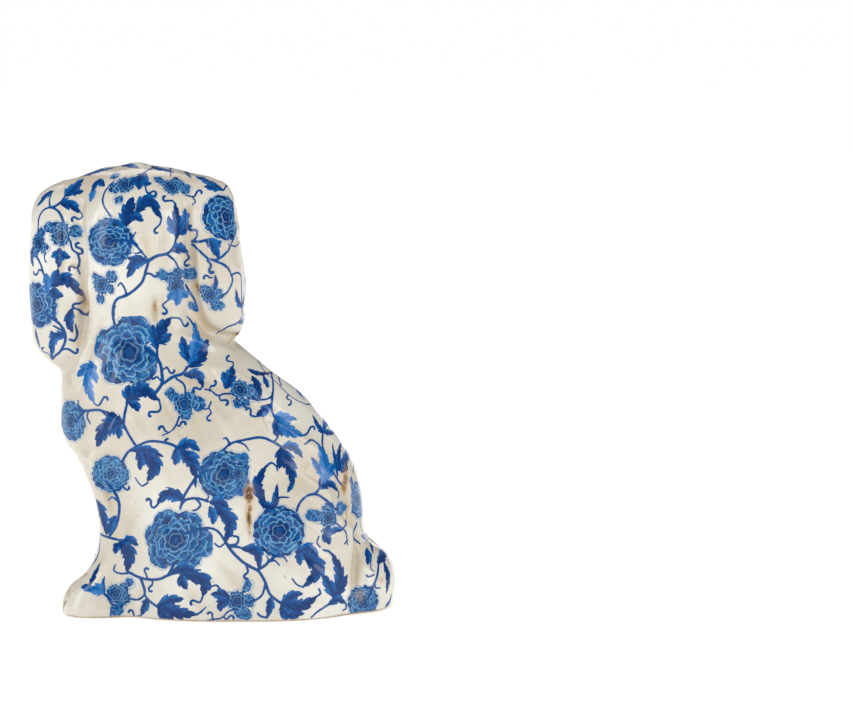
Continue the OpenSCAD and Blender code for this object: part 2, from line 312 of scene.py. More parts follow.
def first_mesh():
    """Quads over the figure's skin, on a grid whose cells are centred on the seams."""
    margin = 6
    low = np.array([round((cad_low.x / MM - margin) / CELL) * CELL,
                    (round((cad_low.y / MM - margin) / CELL) - 0.5) * CELL,
                    BASE_TOP - 5.5 * CELL])
    high = np.array([cad_high.x, cad_high.y, cad_high.z]) / MM + margin
    n = np.ceil((high - low) / CELL).astype(int) + 1
    axes = [low[k] + CELL * np.arange(n[k]) for k in range(3)]
    field = near_field(surface, axes)
    grid = openvdb.FloatGrid(FAR)
    grid.copyFromArray(field)
    points, quads = grid.convertToQuads(isovalue=0.0)
    return points.astype(float) * CELL + low, quads.astype(np.int64)


def gradient(field, p, step=0.25):
    return np.stack([(field(p + step * e) - field(p - step * e)) / (2 * step) for e in np.eye(3)], 1)


def settle(field, p, held, rounds=3):
    """Moves points onto the field's zero surface; held marks the coordinates that stay."""
    for _ in range(rounds):
        d = field(p)
        g = np.where(held, 0.0, gradient(field, p))
        step = d / np.maximum((g * g).sum(1), 0.2)
        p = p - np.clip(step, -1.0, 1.0)[:, None] * g
    return p


def hold_seams(p):
    """Snaps vertices beside a seam plane onto it, and says which coordinates are then fixed."""
    held = np.zeros(p.shape, bool)
    half = CELL / 2 + 1e-6
    for axis, at in ((1, 0.0), (2, BASE_TOP), (2, NECK)):
        near = np.abs(p[:, axis] - at) <= half
        p[near, axis] = at
        held[near, axis] = True
    return held


def edges_of(quads):
    pairs = np.sort(np.concatenate([quads[:, [k, (k + 1) % 4]] for k in range(4)]), axis=1)
    edges, back = np.unique(pairs, axis=0, return_inverse=True)
    return edges, back.reshape(4, -1).T


def pull_together(p, edges):
    """The way from each vertex to the middle of its neighbours."""
    total, count = np.zeros_like(p), np.zeros(len(p))
    for a, b in ((0, 1), (1, 0)):
        np.add.at(total, edges[:, a], p[edges[:, b]])
        np.add.at(count, edges[:, a], 1)
    return total / count[:, None] - p


def relax(p, quads, held, rounds):
    """Evens out the quads along the surface."""
    edges = edges_of(quads)[0]
    for _ in range(rounds):
        pull = pull_together(p, edges)
        pull[held] = 0
        p = settle(surface, p + 0.5 * pull, held, 1)
    return p


def split_quads(p, quads, held):
    """Each quad becomes four. New corners: old, edge middles, quad middles."""
    edges, quad_edges = edges_of(quads)
    mid, centre = p[edges].mean(1), p[quads].mean(1)
    first_edge, first_centre = len(p), len(p) + len(edges)
    points = np.concatenate([p, mid, centre])
    kept = np.concatenate([held, held[edges].all(1), held[quads].all(1)])
    c = first_centre + np.arange(len(quads))
    m = first_edge + quad_edges
    fine = np.stack([np.stack([quads[:, k], m[:, k], c, m[:, (k + 3) % 4]], 1) for k in range(4)], 1)
    return points, fine.reshape(-1, 4), kept


def vertex_normals(p, quads):
    q = p[quads]
    face = np.cross(q[:, 2] - q[:, 0], q[:, 3] - q[:, 1])
    n = np.zeros_like(p)
    for k in range(4):
        np.add.at(n, quads[:, k], face)
    return n / np.maximum(np.linalg.norm(n, axis=1), 1e-9)[:, None]


# ---------------------------------------------------------------- the printed pattern

# Every place below is (x, z) in millimetres on the figure, seen squarely from the side it is printed on.
# Blades of the leaves: (half width, tone, base, ..., tip). Tone 0 is deep navy, 1 pale periwinkle.
BLADES = [
    # ear on the chest side
    (4.5, .35, (91, 270), (86, 275), (80, 281)), (3, .3, (88, 272), (84, 273), (79, 273)),
    (2.8, .35, (99, 273), (104, 270), (110, 263)), (3.6, .25, (94, 266), (87, 265), (81, 260)),
    (3, .3, (94, 238), (94, 232), (95, 225)), (2.6, .55, (93, 235), (96, 234), (99, 232)),
    (2.8, .3, (94, 235), (91, 233), (87, 232)), (4.5, .15, (100, 214), (90, 218), (80, 206)),
    (3.4, .35, (98, 214), (97, 219), (95, 225)), (3, .7, (102, 222), (102, 215), (102, 208)),
    (3.6, .3, (98, 213), (97, 209), (92, 207)), (3.2, .4, (92, 181), (99, 180), (102, 166)),
    (2, .4, (99, 180), (100, 182), (101, 185)), (3.2, .2, (87, 199), (89, 191), (87, 183)),
    (1.6, .3, (112, 185), (111, 179), (109, 172)), (2.6, .3, (112, 238), (113, 231), (112, 225)),
    # back of the head
    (2.8, .3, (65, 277), (70, 279), (74, 272)), (2.8, .85, (72, 275), (73, 271), (74, 267)),
    (4.2, .3, (40, 285), (42, 281), (43, 275)), (3, .3, (43, 280), (46, 280), (48, 278)),
    (2.6, .4, (41, 280), (38, 279), (35, 279)), (5, .1, (50, 253), (49, 262), (46, 271)),
    (3.4, .35, (48, 258), (44, 259), (39, 256)), (4.4, .15, (44, 261), (36, 269), (28, 257)),
    (4.2, .3, (37, 231), (44, 230), (50, 220)), (2.4, .3, (44, 230), (46, 232), (49, 233)),
    (3.6, .2, (19, 244), (19, 255), (20, 267)), (3, .55, (18, 250), (14, 257), (14, 263)),
    (2.8, .35, (18, 247), (14, 250), (12, 254)), (3, .45, (19, 247), (22, 252), (24, 259)),
    (3.4, .35, (22, 237), (17, 238), (12, 235)), (2, .4, (18, 238), (17, 240), (16, 242)),
    (4, .8, (19, 213), (19, 207), (20, 201)), (3, .8, (18, 210), (15, 208), (13, 206)),
    (3, .8, (20, 210), (23, 208), (25, 205)), (1.8, .5, (12, 203), (11, 200), (8, 196)),
    (2.2, .55, (22, 287), (17, 285), (11, 281)),
    # ear on the tail side
    (3.6, .4, (-9, 273), (0, 278), (9, 282)), (2.6, .3, (-7, 274), (-2, 275), (3, 276)),
    (4, .35, (1, 243), (-4, 240), (-7, 231)), (2, .35, (-3, 241), (-6, 241), (-9, 242)),
    (2.8, .35, (-20, 197), (-22, 208), (-21, 222)), (2.2, .35, (-20, 198), (-18, 203), (-17, 211)),
    (1.6, .4, (-20, 238), (-21, 230), (-22, 222)), (1.8, .3, (-18, 188), (-21, 189), (-21, 194)),
    (1.6, .25, (-4, 211), (-5, 215), (-5, 221)),
    # neck and shoulder
    (3.2, .3, (32, 174), (34, 182), (35, 190)), (4.6, .15, (32, 177), (30, 187), (23, 194)),
    (3.2, .3, (31, 178), (27, 181), (23, 184)), (4.2, .75, (12, 164), (8, 176), (9, 190)),
    (3.6, .3, (12, 166), (15, 174), (17, 182)), (3.2, .3, (9, 169), (4, 174), (1, 179)),
    (3.8, .2, (12, 163), (5, 168), (1, 173)), (3.2, .25, (15, 158), (6, 158), (3, 150)),
    (1.8, .35, (40, 176), (36, 173), (32, 169)), (5, .15, (52, 140), (42, 149), (31, 142)),
    (3.8, .25, (51, 142), (51, 147), (50, 152)), (3.6, .3, (50, 140), (46, 139), (44, 135)),
    (4.4, .3, (-11, 149), (-13, 155), (-15, 162)), (2.6, .3, (-12, 152), (-10, 156), (-9, 159)),
    (2.2, .1, (-24, 159), (-30, 156), (-38, 154)), (3.2, .05, (-27, 155), (-30, 150), (-33, 143)),
    (2.2, .3, (-34, 154), (-36, 150), (-37, 147)), (3.2, .3, (-39, 138), (-35, 134), (-30, 131)),
    (3, .75, (-42, 131), (-48, 130), (-56, 127)), (5, .7, (-43, 130), (-50, 122), (-60, 117)),
    (3, .35, (-42, 129), (-44, 123), (-47, 118)), (3, .75, (-46, 149), (-53, 143), (-60, 136)),
    (3, .25, (-72, 116), (-69, 121), (-65, 128)), (2.6, .6, (-72, 118), (-73, 123), (-71, 129)),
    (2.6, .4, (-72, 117), (-75, 116), (-79, 113)),
    # chest
    (4, .75, (71, 162), (78, 161), (84, 155)), (3.6, .75, (79, 161), (77, 149), (73, 139)),
    (3, .8, (77, 160), (73, 157), (71, 152)), (3.2, .2, (54, 127), (61, 131), (68, 134)),
    (5.6, .1, (55, 127), (66, 123), (72, 111)), (3, .35, (58, 127), (57, 122), (57, 117)),
    (2.6, .25, (50, 110), (38, 111), (28, 106)), (5, .15, (42, 110), (34, 101), (39, 90)),
    (3.2, .3, (45, 110), (43, 104), (44, 97)), (3.6, .35, (20, 112), (12, 115), (5, 110)),
    (3.4, .35, (20, 112), (20, 106), (21, 101)), (5, .2, (18, 110), (10, 104), (8, 93)),
    (1, .3, (8, 93), (8, 90), (8, 86)), (4, .2, (73, 77), (69, 68), (66, 54)),
    (3, .35, (60, 67), (63, 61), (65, 55)), (4.8, .1, (58, 50), (52, 42), (54, 30)),
    (3, .3, (55, 51), (51, 51), (46, 47)), (2.6, .3, (58, 49), (60, 46), (61, 42)),
    # middle of the body
    (4.2, .25, (16, 79), (26, 82), (33, 76)), (2.6, .35, (18, 79), (19, 82), (20, 86)),
    (3.6, .3, (-1, 77), (-7, 78), (-13, 74)), (3, .45, (-1, 75), (-3, 69), (-3, 63)),
    (4.8, .2, (-4, 75), (-14, 66), (-11, 52)), (3.6, .2, (-21, 48), (-31, 46), (-32, 35)),
    (2.4, .3, (-29, 46), (-32, 46), (-34, 44)), (4.2, .05, (-46, 112), (-52, 99), (-54, 87)),
    (3.2, .35, (-47, 112), (-54, 111), (-60, 104)), (3.6, .15, (-46, 111), (-46, 105), (-45, 98)),
    (1.6, .3, (-54, 90), (-52, 86), (-50, 83)), (3.6, .05, (-36, 77), (-31, 88), (-37, 101)),
    (3, .25, (-32, 78), (-41, 75), (-44, 89)), (4.4, .75, (-73, 87), (-74, 98), (-69, 112)),
    (2.6, .55, (-72, 92), (-69, 98), (-65, 104)), (3.2, .6, (-75, 90), (-77, 95), (-80, 98)),
    (1.6, .3, (-82, 90), (-80, 100), (-78, 110)), (2.2, .25, (-83, 93), (-82, 101), (-83, 108)),
    (3, .4, (-84, 97), (-87, 100), (-90, 104)), (2.6, .3, (-84, 92), (-86, 95), (-86, 98)),
    (3, .3, (-71, 84), (-77, 87), (-83, 81)), (4, .3, (-76, 60), (-75, 54), (-77, 48)),
    (2.2, .35, (-76, 55), (-80, 57), (-85, 56)), (2.6, .4, (-90, 88), (-90, 84), (-91, 79)),
    # foot of the figure
    (2, .05, (78, 21), (75, 28), (71, 36)), (4, .8, (68, 17), (73, 19), (79, 18)),
    (2.8, .4, (77, 18), (80, 20), (84, 20)), (1.2, .4, (68, 17), (69, 22), (68, 28)),
    (3.4, .2, (24, 32), (15, 35), (7, 32)), (5, .1, (18, 32), (3, 27), (4, 17)),
    (3.6, .3, (17, 31), (17, 26), (14, 21)), (3.6, .3, (34, 9), (25, 14), (16, 15)),
    (4.6, .15, (34, 9), (20, 6), (8, 5)), (3.8, .25, (33, 9), (29, 4), (22, 0)),
    (3, .3, (40, 14), (42, 8), (45, 2)), (3.8, .3, (-13, 15), (-8, 18), (-1, 18)),
    (3.6, .2, (-13, 15), (-8, 12), (-7, 7)), (2.8, .25, (-39, 16), (-39, 10), (-37, 3)),
    (3.2, .3, (-46, 12), (-53, 17), (-60, 18)), (4.6, .1, (-46, 12), (-58, 10), (-69, 15)),
    (4, .3, (-46, 11), (-50, 5), (-61, 5)), (3.6, .3, (-55, 45), (-64, 47), (-70, 40)),
    (3, .35, (-57, 45), (-58, 41), (-58, 36)), (5, .15, (-60, 44), (-70, 33), (-60, 22)),
    (4, .2, (-79, 11), (-83, 28), (-78, 43)), (3.6, .3, (-79, 14), (-76, 22), (-72, 30)),
    (3.8, .25, (-80, 14), (-84, 20), (-88, 27)), (2.8, .3, (-76, 9), (-82, 12), (-87, 8)),
    (2.6, .3, (-96, 49), (-101, 43), (-104, 36)), (2.8, .3, (-100, 40), (-101, 36), (-101, 31)),
    (3.2, .1, (-107, 31), (-112, 33), (-117, 26)), (2.8, .05, (-111, 31), (-114, 22), (-113, 11)),
    (1.6, .4, (-112, 2), (-115, 5), (-116, 10)),
]

# Stems and tendrils: (half width at the start, half width at the end, points).
STEMS = [
    # ear on the chest side
    (.5, .9, (108, 243), (108, 255), (105, 261), (100, 263), (95, 261), (92, 256), (90, 250)),
    (.9, .6, (99, 263), (94, 266), (91, 270)), (.7, .4, (100, 263), (101, 267), (100, 272)),
    (.5, .8, (81, 261), (80, 258), (82, 256), (84, 257)),
    (.7, .5, (87, 242), (86, 237), (83, 234), (82, 229), (83, 225), (82, 221)),
    (.5, .9, (84, 235), (81, 234), (81, 237), (83, 238)), (.5, .9, (82, 226), (84, 225), (86, 226)),
    (.8, .8, (109, 232), (106, 227), (104, 221), (102, 214)), (.5, .7, (104, 221), (107, 224), (109, 221)),
    (.6, .9, (81, 207), (80, 204), (82, 202), (85, 202)),
    (.9, .8, (104, 196), (100, 193), (95, 189), (92, 184), (92, 178), (95, 172), (99, 168), (102, 165)),
    (.8, .4, (97, 192), (99, 196), (97, 200)), (.5, .8, (97, 187), (99, 188), (94, 185)),
    (.6, 1, (95, 172), (91, 173), (87, 170)), (.4, .7, (102, 165), (104, 169), (107, 170)),
    (.5, .9, (87, 199), (83, 198), (81, 195)), (.8, .9, (85, 188), (84, 182), (86, 178), (89, 179)),
    (.5, .5, (102, 229), (103, 232), (102, 235)),
    # back of the head
    (.5, .7, (59, 280), (62, 277), (65, 272), (65, 266), (60, 259)),
    (.9, .5, (57, 244), (50, 244), (44, 241), (39, 235), (36, 231)),
    (.8, .5, (43, 241), (46, 245), (44, 249)), (.7, .4, (40, 237), (43, 236), (45, 236)),
    (.9, .9, (36, 231), (38, 225), (41, 217), (49, 210), (56, 207), (59, 203), (60, 197), (59, 190)),
    (.6, .9, (39, 222), (36, 223), (33, 221)), (.5, .5, (59, 196), (59, 200), (58, 202)),
    (1.1, .8, (36, 231), (31, 234), (25, 235), (21, 239), (19, 246)),
    (.8, .6, (25, 235), (21, 231), (18, 225)), (.5, .9, (13, 235), (12, 231), (14, 229)),
    (.5, .7, (56, 215), (54, 217), (52, 214), (51, 210), (56, 207)),
    (.7, .4, (14, 214), (12, 209), (10, 204), (8, 197)), (.5, .9, (25, 205), (28, 202), (26, 199)),
    (.7, .5, (41, 285), (37, 287), (32, 288), (26, 287), (24, 283)),
    (.5, .9, (39, 277), (37, 273), (34, 274)), (.5, .5, (36, 287), (38, 289), (42, 289)),
    (.5, .8, (14, 271), (9, 270), (7, 273)), (.5, .4, (10, 270), (8, 267), (10, 265)),
    (.6, .9, (20, 266), (22, 268), (26, 268)), (.5, .8, (28, 258), (29, 254), (32, 251)),
    # ear on the tail side
    (.5, .8, (-9, 273), (-11, 276), (-13, 275)),
    (.6, .9, (-16, 243), (-12, 236), (-7, 231), (-1, 231), (5, 236), (10, 240)),
    (.7, .4, (-12, 236), (-13, 239), (-12, 240)), (.5, .5, (-14, 239), (-17, 238), (-19, 240)),
    (.8, .7, (-4, 230), (-10, 227), (-14, 221), (-15, 216), (-12, 210), (-8, 207)),
    (.7, .6, (-14, 220), (-18, 221), (-20, 216), (-20, 198)),
    (.9, .9, (10, 242), (5, 242), (1, 243)), (.7, .9, (10, 242), (7, 245), (7, 249), (10, 249)),
    (.8, 1, (0, 230), (-2, 227), (-1, 224)), (.5, .8, (-3, 219), (-1, 219), (0, 220)),
    (.8, .6, (-20, 197), (-20, 192), (-17, 188), (-11, 186), (-6, 181)),
    # neck and shoulder
    (.9, 1.1, (38, 173), (33, 170), (30, 165), (29, 159), (29, 153), (33, 147)),
    (1, .9, (28, 153), (22, 157), (16, 159), (13, 163)), (.5, .8, (29, 161), (26, 163), (24, 160)),
    (.5, .9, (30, 155), (32, 157), (34, 156)), (.8, .7, (32, 169), (32, 173), (32, 177)),
    (.7, .6, (20, 156), (15, 152), (14, 145)), (.6, .9, (23, 194), (18, 193), (16, 189)),
    (.8, .4, (9, 187), (12, 192), (14, 194)), (.6, .9, (3, 151), (5, 149), (7, 150)),
    (.6, .9, (31, 143), (30, 137), (32, 135), (36, 135)), (.8, 1.1, (51, 142), (53, 133), (54, 127)),
    (.5, .7, (2, 149), (-2, 148), (-6, 145), (-11, 146), (-16, 146)),
    (.5, .9, (-1, 148), (-2, 151), (-3, 151)), (.5, .9, (-7, 145), (-8, 142), (-11, 142)),
    (.5, .8, (-15, 161), (-15, 164), (-12, 165)),
    (.7, .6, (-38, 154), (-40, 149), (-40, 143), (-36, 141), (-28, 142)),
    (.8, .7, (-40, 144), (-40, 136), (-42, 130)), (.6, .8, (-30, 131), (-27, 132), (-27, 135)),
    (.6, .8, (-58, 117), (-62, 118), (-64, 121)),
    (.5, .5, (-27, 164), (-34, 156), (-42, 149), (-51, 141), (-58, 136), (-66, 131)),
    (.7, .4, (-45, 147), (-43, 150), (-42, 153)), (.5, .7, (-50, 142), (-49, 140), (-51, 139)),
    (.5, .6, (4, 137), (0, 137), (-2, 141)), (.5, .7, (-1, 137), (-2, 134), (0, 132)),
    (.7, .4, (18, 132), (20, 127), (23, 123), (29, 120)), (.5, .9, (20, 127), (18, 126), (17, 128)),
    (.5, .9, (25, 122), (27, 123), (28, 125)),
    # chest
    (.8, 1, (87, 134), (78, 134), (70, 135), (62, 132), (54, 127)),
    (.7, .5, (82, 135), (84, 137), (84, 140)), (.8, .8, (79, 134), (83, 130), (86, 126)),
    (.7, .6, (77, 134), (78, 130), (76, 126)), (.5, .9, (73, 139), (70, 138), (67, 143)),
    (.9, .9, (54, 127), (51, 121), (46, 113)), (.9, .8, (55, 103), (51, 109), (45, 113)),
    (.8, .9, (45, 113), (38, 116), (30, 116), (22, 114), (17, 110)),
    (.7, .4, (39, 89), (43, 87), (47, 92)), (.5, .8, (20, 112), (23, 114), (26, 115)),
    (.9, .8, (8, 93), (12, 87), (16, 80), (18, 73)), (.8, .7, (8, 93), (2, 97), (-4, 99)),
    (.7, .6, (4, 96), (1, 102), (-3, 106)),
    (.7, .9, (-10, 111), (-15, 115), (-24, 117), (-33, 118), (-41, 115), (-47, 111)),
    (.8, .5, (-14, 114), (-12, 118), (-10, 118)), (.7, .4, (-18, 116), (-23, 114), (-26, 110)),
    (.6, .9, (-42, 115), (-44, 118), (-42, 120)),
    (1, .8, (66, 89), (61, 83), (58, 76), (58, 68), (60, 60), (65, 53)),
    (.6, .8, (58, 83), (56, 86), (54, 84)), (.7, .4, (58, 76), (62, 79), (65, 77)),
    (.8, .8, (71, 54), (66, 53), (58, 51), (52, 51)),
    (.6, 1.4, (71, 54), (72, 44), (75, 36), (80, 29), (86, 24)),
    (.7, .5, (53, 29), (58, 29), (62, 31), (61, 35)),
    # middle of the body
    (.7, .9, (32, 76), (35, 73), (37, 74), (37, 77)), (.9, .8, (17, 76), (14, 79), (7, 80), (0, 78)),
    (.8, .6, (8, 80), (5, 76), (7, 73), (10, 72)), (.6, .4, (2, 79), (0, 80), (0, 83)),
    (.8, .8, (15, 57), (7, 60), (0, 61), (-6, 59), (-11, 52)), (.5, .4, (2, 60), (-1, 58), (-2, 56)),
    (1, .9, (-11, 52), (-15, 46), (-21, 40), (-27, 36), (-32, 33), (-36, 26), (-39, 18), (-46, 12)),
    (.6, .6, (-10, 51), (-7, 49), (-4, 51)), (.8, .7, (-13, 50), (-18, 51), (-19, 55), (-16, 56)),
    (.7, .9, (-24, 37), (-25, 33), (-23, 31)), (.7, .8, (-14, 49), (-18, 49), (-22, 48)),
    (1, .8, (-31, 34), (-36, 37), (-40, 41), (-45, 44)), (.6, .4, (-37, 38), (-38, 41), (-37, 43)),
    (.6, .5, (-38, 39), (-42, 40), (-45, 37)), (.7, .5, (-44, 43), (-48, 42), (-50, 39)),
    (.7, .7, (-36, 25), (-34, 18), (-29, 14), (-25, 13)), (.9, .5, (-42, 76), (-45, 80), (-51, 80)),
    (.8, .5, (-37, 100), (-40, 102), (-43, 100), (-44, 97)),
    (.8, .8, (-56, 71), (-58, 76), (-62, 80), (-68, 81), (-74, 77), (-79, 72)),
    (.8, .8, (-67, 81), (-70, 84), (-71, 90)), (.6, .5, (-82, 82), (-83, 80), (-82, 77)),
    (.8, .6, (-72, 116), (-72, 109), (-75, 101), (-79, 93), (-84, 86), (-86, 83)),
    (.7, .7, (-69, 111), (-65, 114), (-61, 112)), (.5, .5, (-92, 103), (-92, 97), (-91, 90)),
    (.6, .5, (-80, 62), (-84, 58), (-87, 54), (-88, 46)), (.5, .6, (-85, 57), (-87, 59), (-87, 62)),
    (.5, .5, (-70, 54), (-69, 50), (-71, 47)), (.6, .5, (-88, 49), (-87, 48), (-86, 47)),
    (.6, .6, (-94, 58), (-93, 51), (-96, 44)), (.6, .8, (-96, 62), (-96, 54), (-99, 46), (-102, 41)),
    # foot of the figure
    (.9, .9, (53, 30), (47, 27), (40, 26), (32, 27), (26, 30), (20, 32)),
    (.8, .8, (45, 26), (43, 20), (41, 14), (34, 9)), (.7, .7, (44, 25), (42, 17), (47, 12), (54, 13)),
    (.6, .8, (40, 26), (41, 29), (42, 31)), (.6, .8, (37, 26), (37, 23), (39, 21)),
    (1.1, .8, (26, 30), (24, 34), (22, 38)), (.6, .8, (4, 17), (6, 13), (10, 14)),
    (.8, .4, (8, 5), (5, 7), (2, 10)), (.5, .8, (45, 2), (49, 1), (50, 4)),
    (.8, .5, (68, 16), (65, 13), (64, 10), (60, 8)), (.5, .6, (64, 5), (64, 1), (60, -1)),
    (.4, .6, (70, 1), (67, -1), (64, 1)), (.8, .5, (-8, 20), (-5, 24), (-1, 23)),
    (.6, .5, (-17, 9), (-12, 7), (-8, 3), (-3, 2), (2, 1)), (.4, .8, (-4, 2), (-2, 3), (-2, 5)),
    (.5, .8, (-9, 4), (-11, 2), (-13, 4)), (.7, .7, (-37, 3), (-33, 4), (-31, 6)),
    (.7, .7, (-68, 15), (-71, 17), (-70, 20)), (.6, .5, (-60, 22), (-56, 24), (-53, 28)),
    (.9, .5, (-79, 12), (-76, 9), (-70, 6), (-65, 2)), (.7, .5, (-87, 8), (-87, 5), (-85, 4)),
    (.8, .7, (-78, 42), (-76, 44), (-73, 45)), (.6, .6, (-100, 25), (-102, 24), (-105, 25)),
    (.7, 1, (-108, 32), (-107, 24), (-104, 17), (-101, 10)), (.6, .6, (-104, 18), (-101, 17), (-99, 19)),
    (.6, .5, (-106, 22), (-106, 17), (-109, 16)), (.5, .4, (-103, 36), (-103, 29), (-105, 27)),
]

# Round flowers and peonies: (x, z, radius, ruffled share from 0 to 1).
FLOWERS = [
    (61, 243, 15.5, 0), (110, 201, 14.5, 0), (-11, 257, 15, 0), (-45, 58.5, 16.5, 0), (-10, 95, 16, .3),
    (63, 94, 12, .7), (90, 126, 13, .6), (-95, 72, 12, .2), (-98, 8, 10.5, .4),
]

# Peonies and small blossoms: (x, z, radius of the middle, petals as (x, z, radius)).
BUD_RUFFLE = .15
BUDS = [
    (50, 172, 12, (47, 185, 12), (45, 165, 13), (58, 163, 11), (63, 176, 11), (56, 180, 10), (54, 170, 15)),
    (21, 53, 11, (26, 62, 10), (13, 62, 9.5), (33, 54, 9), (5, 51, 9), (14, 44, 10.5), (30, 44, 10)),
    (93, 245, 6, (101, 251, 3.2), (97, 250, 4), (84, 248, 4.2), (93, 250, 5)),
    (108, 241, 6, (106, 247, 3.6), (104, 238, 3.6), (111, 235, 4)),
    (52, 278, 6, (59, 283, 3), (58, 276, 4), (55, 269, 3), (47, 280, 4)),
    (23, 276, 5.5, (31, 281, 3), (28, 279, 3), (15, 275, 3.8), (20, 279, 4)),
    (67, 215, 6, (70, 220, 3), (60, 221, 4), (68, 206, 3), (61, 213, 3)),
    (20, 214, 6, (28, 222, 3.4), (23, 220, 4), (19, 222, 4), (12, 221, 4.2)),
    (-1, 208, 5.5, (3, 211, 3.4), (-5, 208, 4.5), (-4, 201, 3.2), (-7, 201, 3.2)),
    (15, 140, 6.5, (24, 147, 3.2), (21, 144, 3.4), (6, 140, 4.6), (14, 134, 4), (11, 144, 4)),
    (-20, 148, 6, (-27, 146, 5), (-30, 143, 3), (-19, 140, 3.4), (-23, 140, 3.4)),
    (-76, 65, 6, (-65, 68, 3.4), (-69, 67, 4), (-76, 70, 5), (-84, 70, 4.4)),
    (61, 16, 6, (56, 20, 3.6), (52, 23, 3), (56, 13, 4.4), (60, 6, 4.4)),
    (-18, 14, 6.5, (-24, 22, 3), (-25, 25, 2.8), (-25, 14, 4.4), (-23, 6, 4.4), (-19, 6, 3)),
    (-19, 96, 4, (-22, 105, 4), (-22, 100, 4), (-22, 90, 4.4), (-21, 85, 3.4)),
]

# Iron stains that came through the glaze: (x, z, half width, half height, strength).
STAINS = [
    (-26, 79, 3, 10, 1), (-26, 70, 1.8, 17, .7), (8, 213, 2.6, 6, .6), (33, 201, 1.6, 5, .45),
    (-17, 180, 2, 4, .5), (-86, 84, 1.6, 12, .55), (86, 227, 3, 3, .3), (80, 205, 3, 9, .4),
    (78, 208, 1.2, 20, .35), (-97, 12, 4, 4, .5), (-110, 22, 3, 5, .3), (93, 15, 3, 5, .25),
    (82, 26, 5, 2, .45), (27, 36, 2, 2, .3), (-88, 70, 1, 14, .35), (76, 190, 3, 20, .2),
]


# Motifs that only show from above, from the chest end and from the tail end. Points are (x, y) on the
# crown and (y, z) on the two ends.
TOP_BLADES = [
    (3.6, .5, (82, 6), (72, 8), (60, 6)), (3.2, .35, (57, 2), (50, 8), (44, 12)),
    (3.4, .35, (38, 4), (30, 8), (22, 10)), (3, .5, (28, 2), (20, 4), (10, 2)),
    (3.8, .3, (52, -4), (58, -12), (66, -18)), (3.4, .3, (36, -6), (30, -14), (22, -20)),
    (3, .4, (47, -6), (46, -16), (42, -24)), (3.2, .3, (78, -2), (84, -8), (86, -16)),
]
TOP_STEMS = [
    (.8, .8, (86, 2), (76, 0), (64, 0), (52, 2), (40, 0), (28, -2), (16, -4), (8, -8)),
    (.5, .9, (64, 0), (62, -4), (64, -7)), (.5, .9, (24, -2), (22, 2), (25, 4)),
]
CHEST_BLADES = [
    (4, .3, (4, 150), (-4, 142), (-8, 130)), (3.4, .35, (4, 150), (8, 142), (8, 134)),
    (4, .25, (-6, 108), (4, 102), (8, 92)), (3.6, .3, (-12, 84), (-6, 74), (-8, 62)),
    (3.4, .3, (2, 44), (-2, 34), (2, 24)), (3, .4, (-22, 110), (-18, 102), (-20, 92)),
    (3.6, .3, (0, 268), (2, 258), (-2, 246)), (3.4, .3, (4, 206), (-2, 196), (0, 184)),
    (3.4, .3, (-14, 226), (-10, 216), (-12, 204)),
]
CHEST_STEMS = [
    (.8, .8, (4, 164), (0, 148), (-2, 132), (-6, 116), (-8, 100), (-10, 84), (-4, 66), (0, 48)),
    (.5, .9, (-2, 128), (4, 124), (6, 120)), (.5, .9, (-10, 86), (-16, 82), (-18, 76)),
    (.8, .8, (0, 272), (4, 250), (0, 230), (2, 210), (0, 190), (0, 170)),
]
CHEST_FLOWERS = [(2, 118, 8, .2), (-6, 236, 9, 0)]
RUMP_BLADES = [
    (4, .3, (2, 152), (-6, 144), (-10, 134)), (4, .25, (0, 118), (8, 112), (12, 102)),
    (3.6, .3, (-2, 96), (-8, 88), (-10, 76)), (3.6, .3, (4, 70), (10, 62), (12, 52)),
    (3.6, .3, (2, 34), (-6, 28), (-12, 18)), (3, .3, (6, 30), (14, 24), (18, 14)),
    (3.6, .3, (0, 266), (-4, 256), (0, 244)), (3.4, .3, (4, 224), (-2, 212), (-6, 200)),
    (3.2, .35, (-34, 30), (-40, 24), (-42, 16)),
]
RUMP_STEMS = [
    (.8, .8, (0, 166), (2, 148), (-2, 130), (0, 112), (-2, 94), (2, 76), (2, 58), (0, 38)),
    (.5, .9, (0, 128), (-6, 124), (-8, 119)), (.5, .9, (0, 84), (6, 82), (8, 77)),
    (.8, .8, (0, 270), (2, 250), (-2, 230), (0, 210), (0, 190)),
]
RUMP_FLOWERS = [(-16, 106, 10, 0), (10, 84, 8, .2), (-4, 20, 9, 0), (4, 238, 9, 0)]


def smooth_path(points, per_span=6):
    """A smooth curve through a few points."""
    rows = np.column_stack([np.arange(len(points)), np.array(points, float)])
    return smooth_rows(rows, per_span * (len(points) - 1) + 1)[1][:, 1:]


# Faces of the figure that motifs are dropped on: the axis looked along, which end of it, where the drop
# starts and how far past the middle it may go.
FACINGS = {"back": (1, 1, 64, -6), "front": (1, -1, 64, -6), "top": (2, 1, 300, 150),
           "chest": (0, 1, 125, 20), "rump": (0, -1, 125, 0)}


def cast(flat, facing):
    """Drops flat points squarely onto one face of the figure."""
    axis, sign, start, stop = FACINGS[facing]
    p = np.insert(np.array(flat, float), axis, start * sign, axis=1)
    if axis != 2:
        p[:, 2] = np.clip(p[:, 2], 0.3, None)
    for _ in range(45):
        p[:, axis] -= sign * np.clip(whole(p), -2, 6)
        p[:, axis] = sign * np.maximum(sign * p[:, axis], stop)
    return settle(whole, p, np.zeros(p.shape, bool), 4)


def cast_curves(curves, facing):
    """Drops several flat curves at once, and gives them back one by one."""
    ends = np.cumsum([len(curve) for curve in curves])[:-1]
    return np.split(cast(np.concatenate(curves), facing), ends)


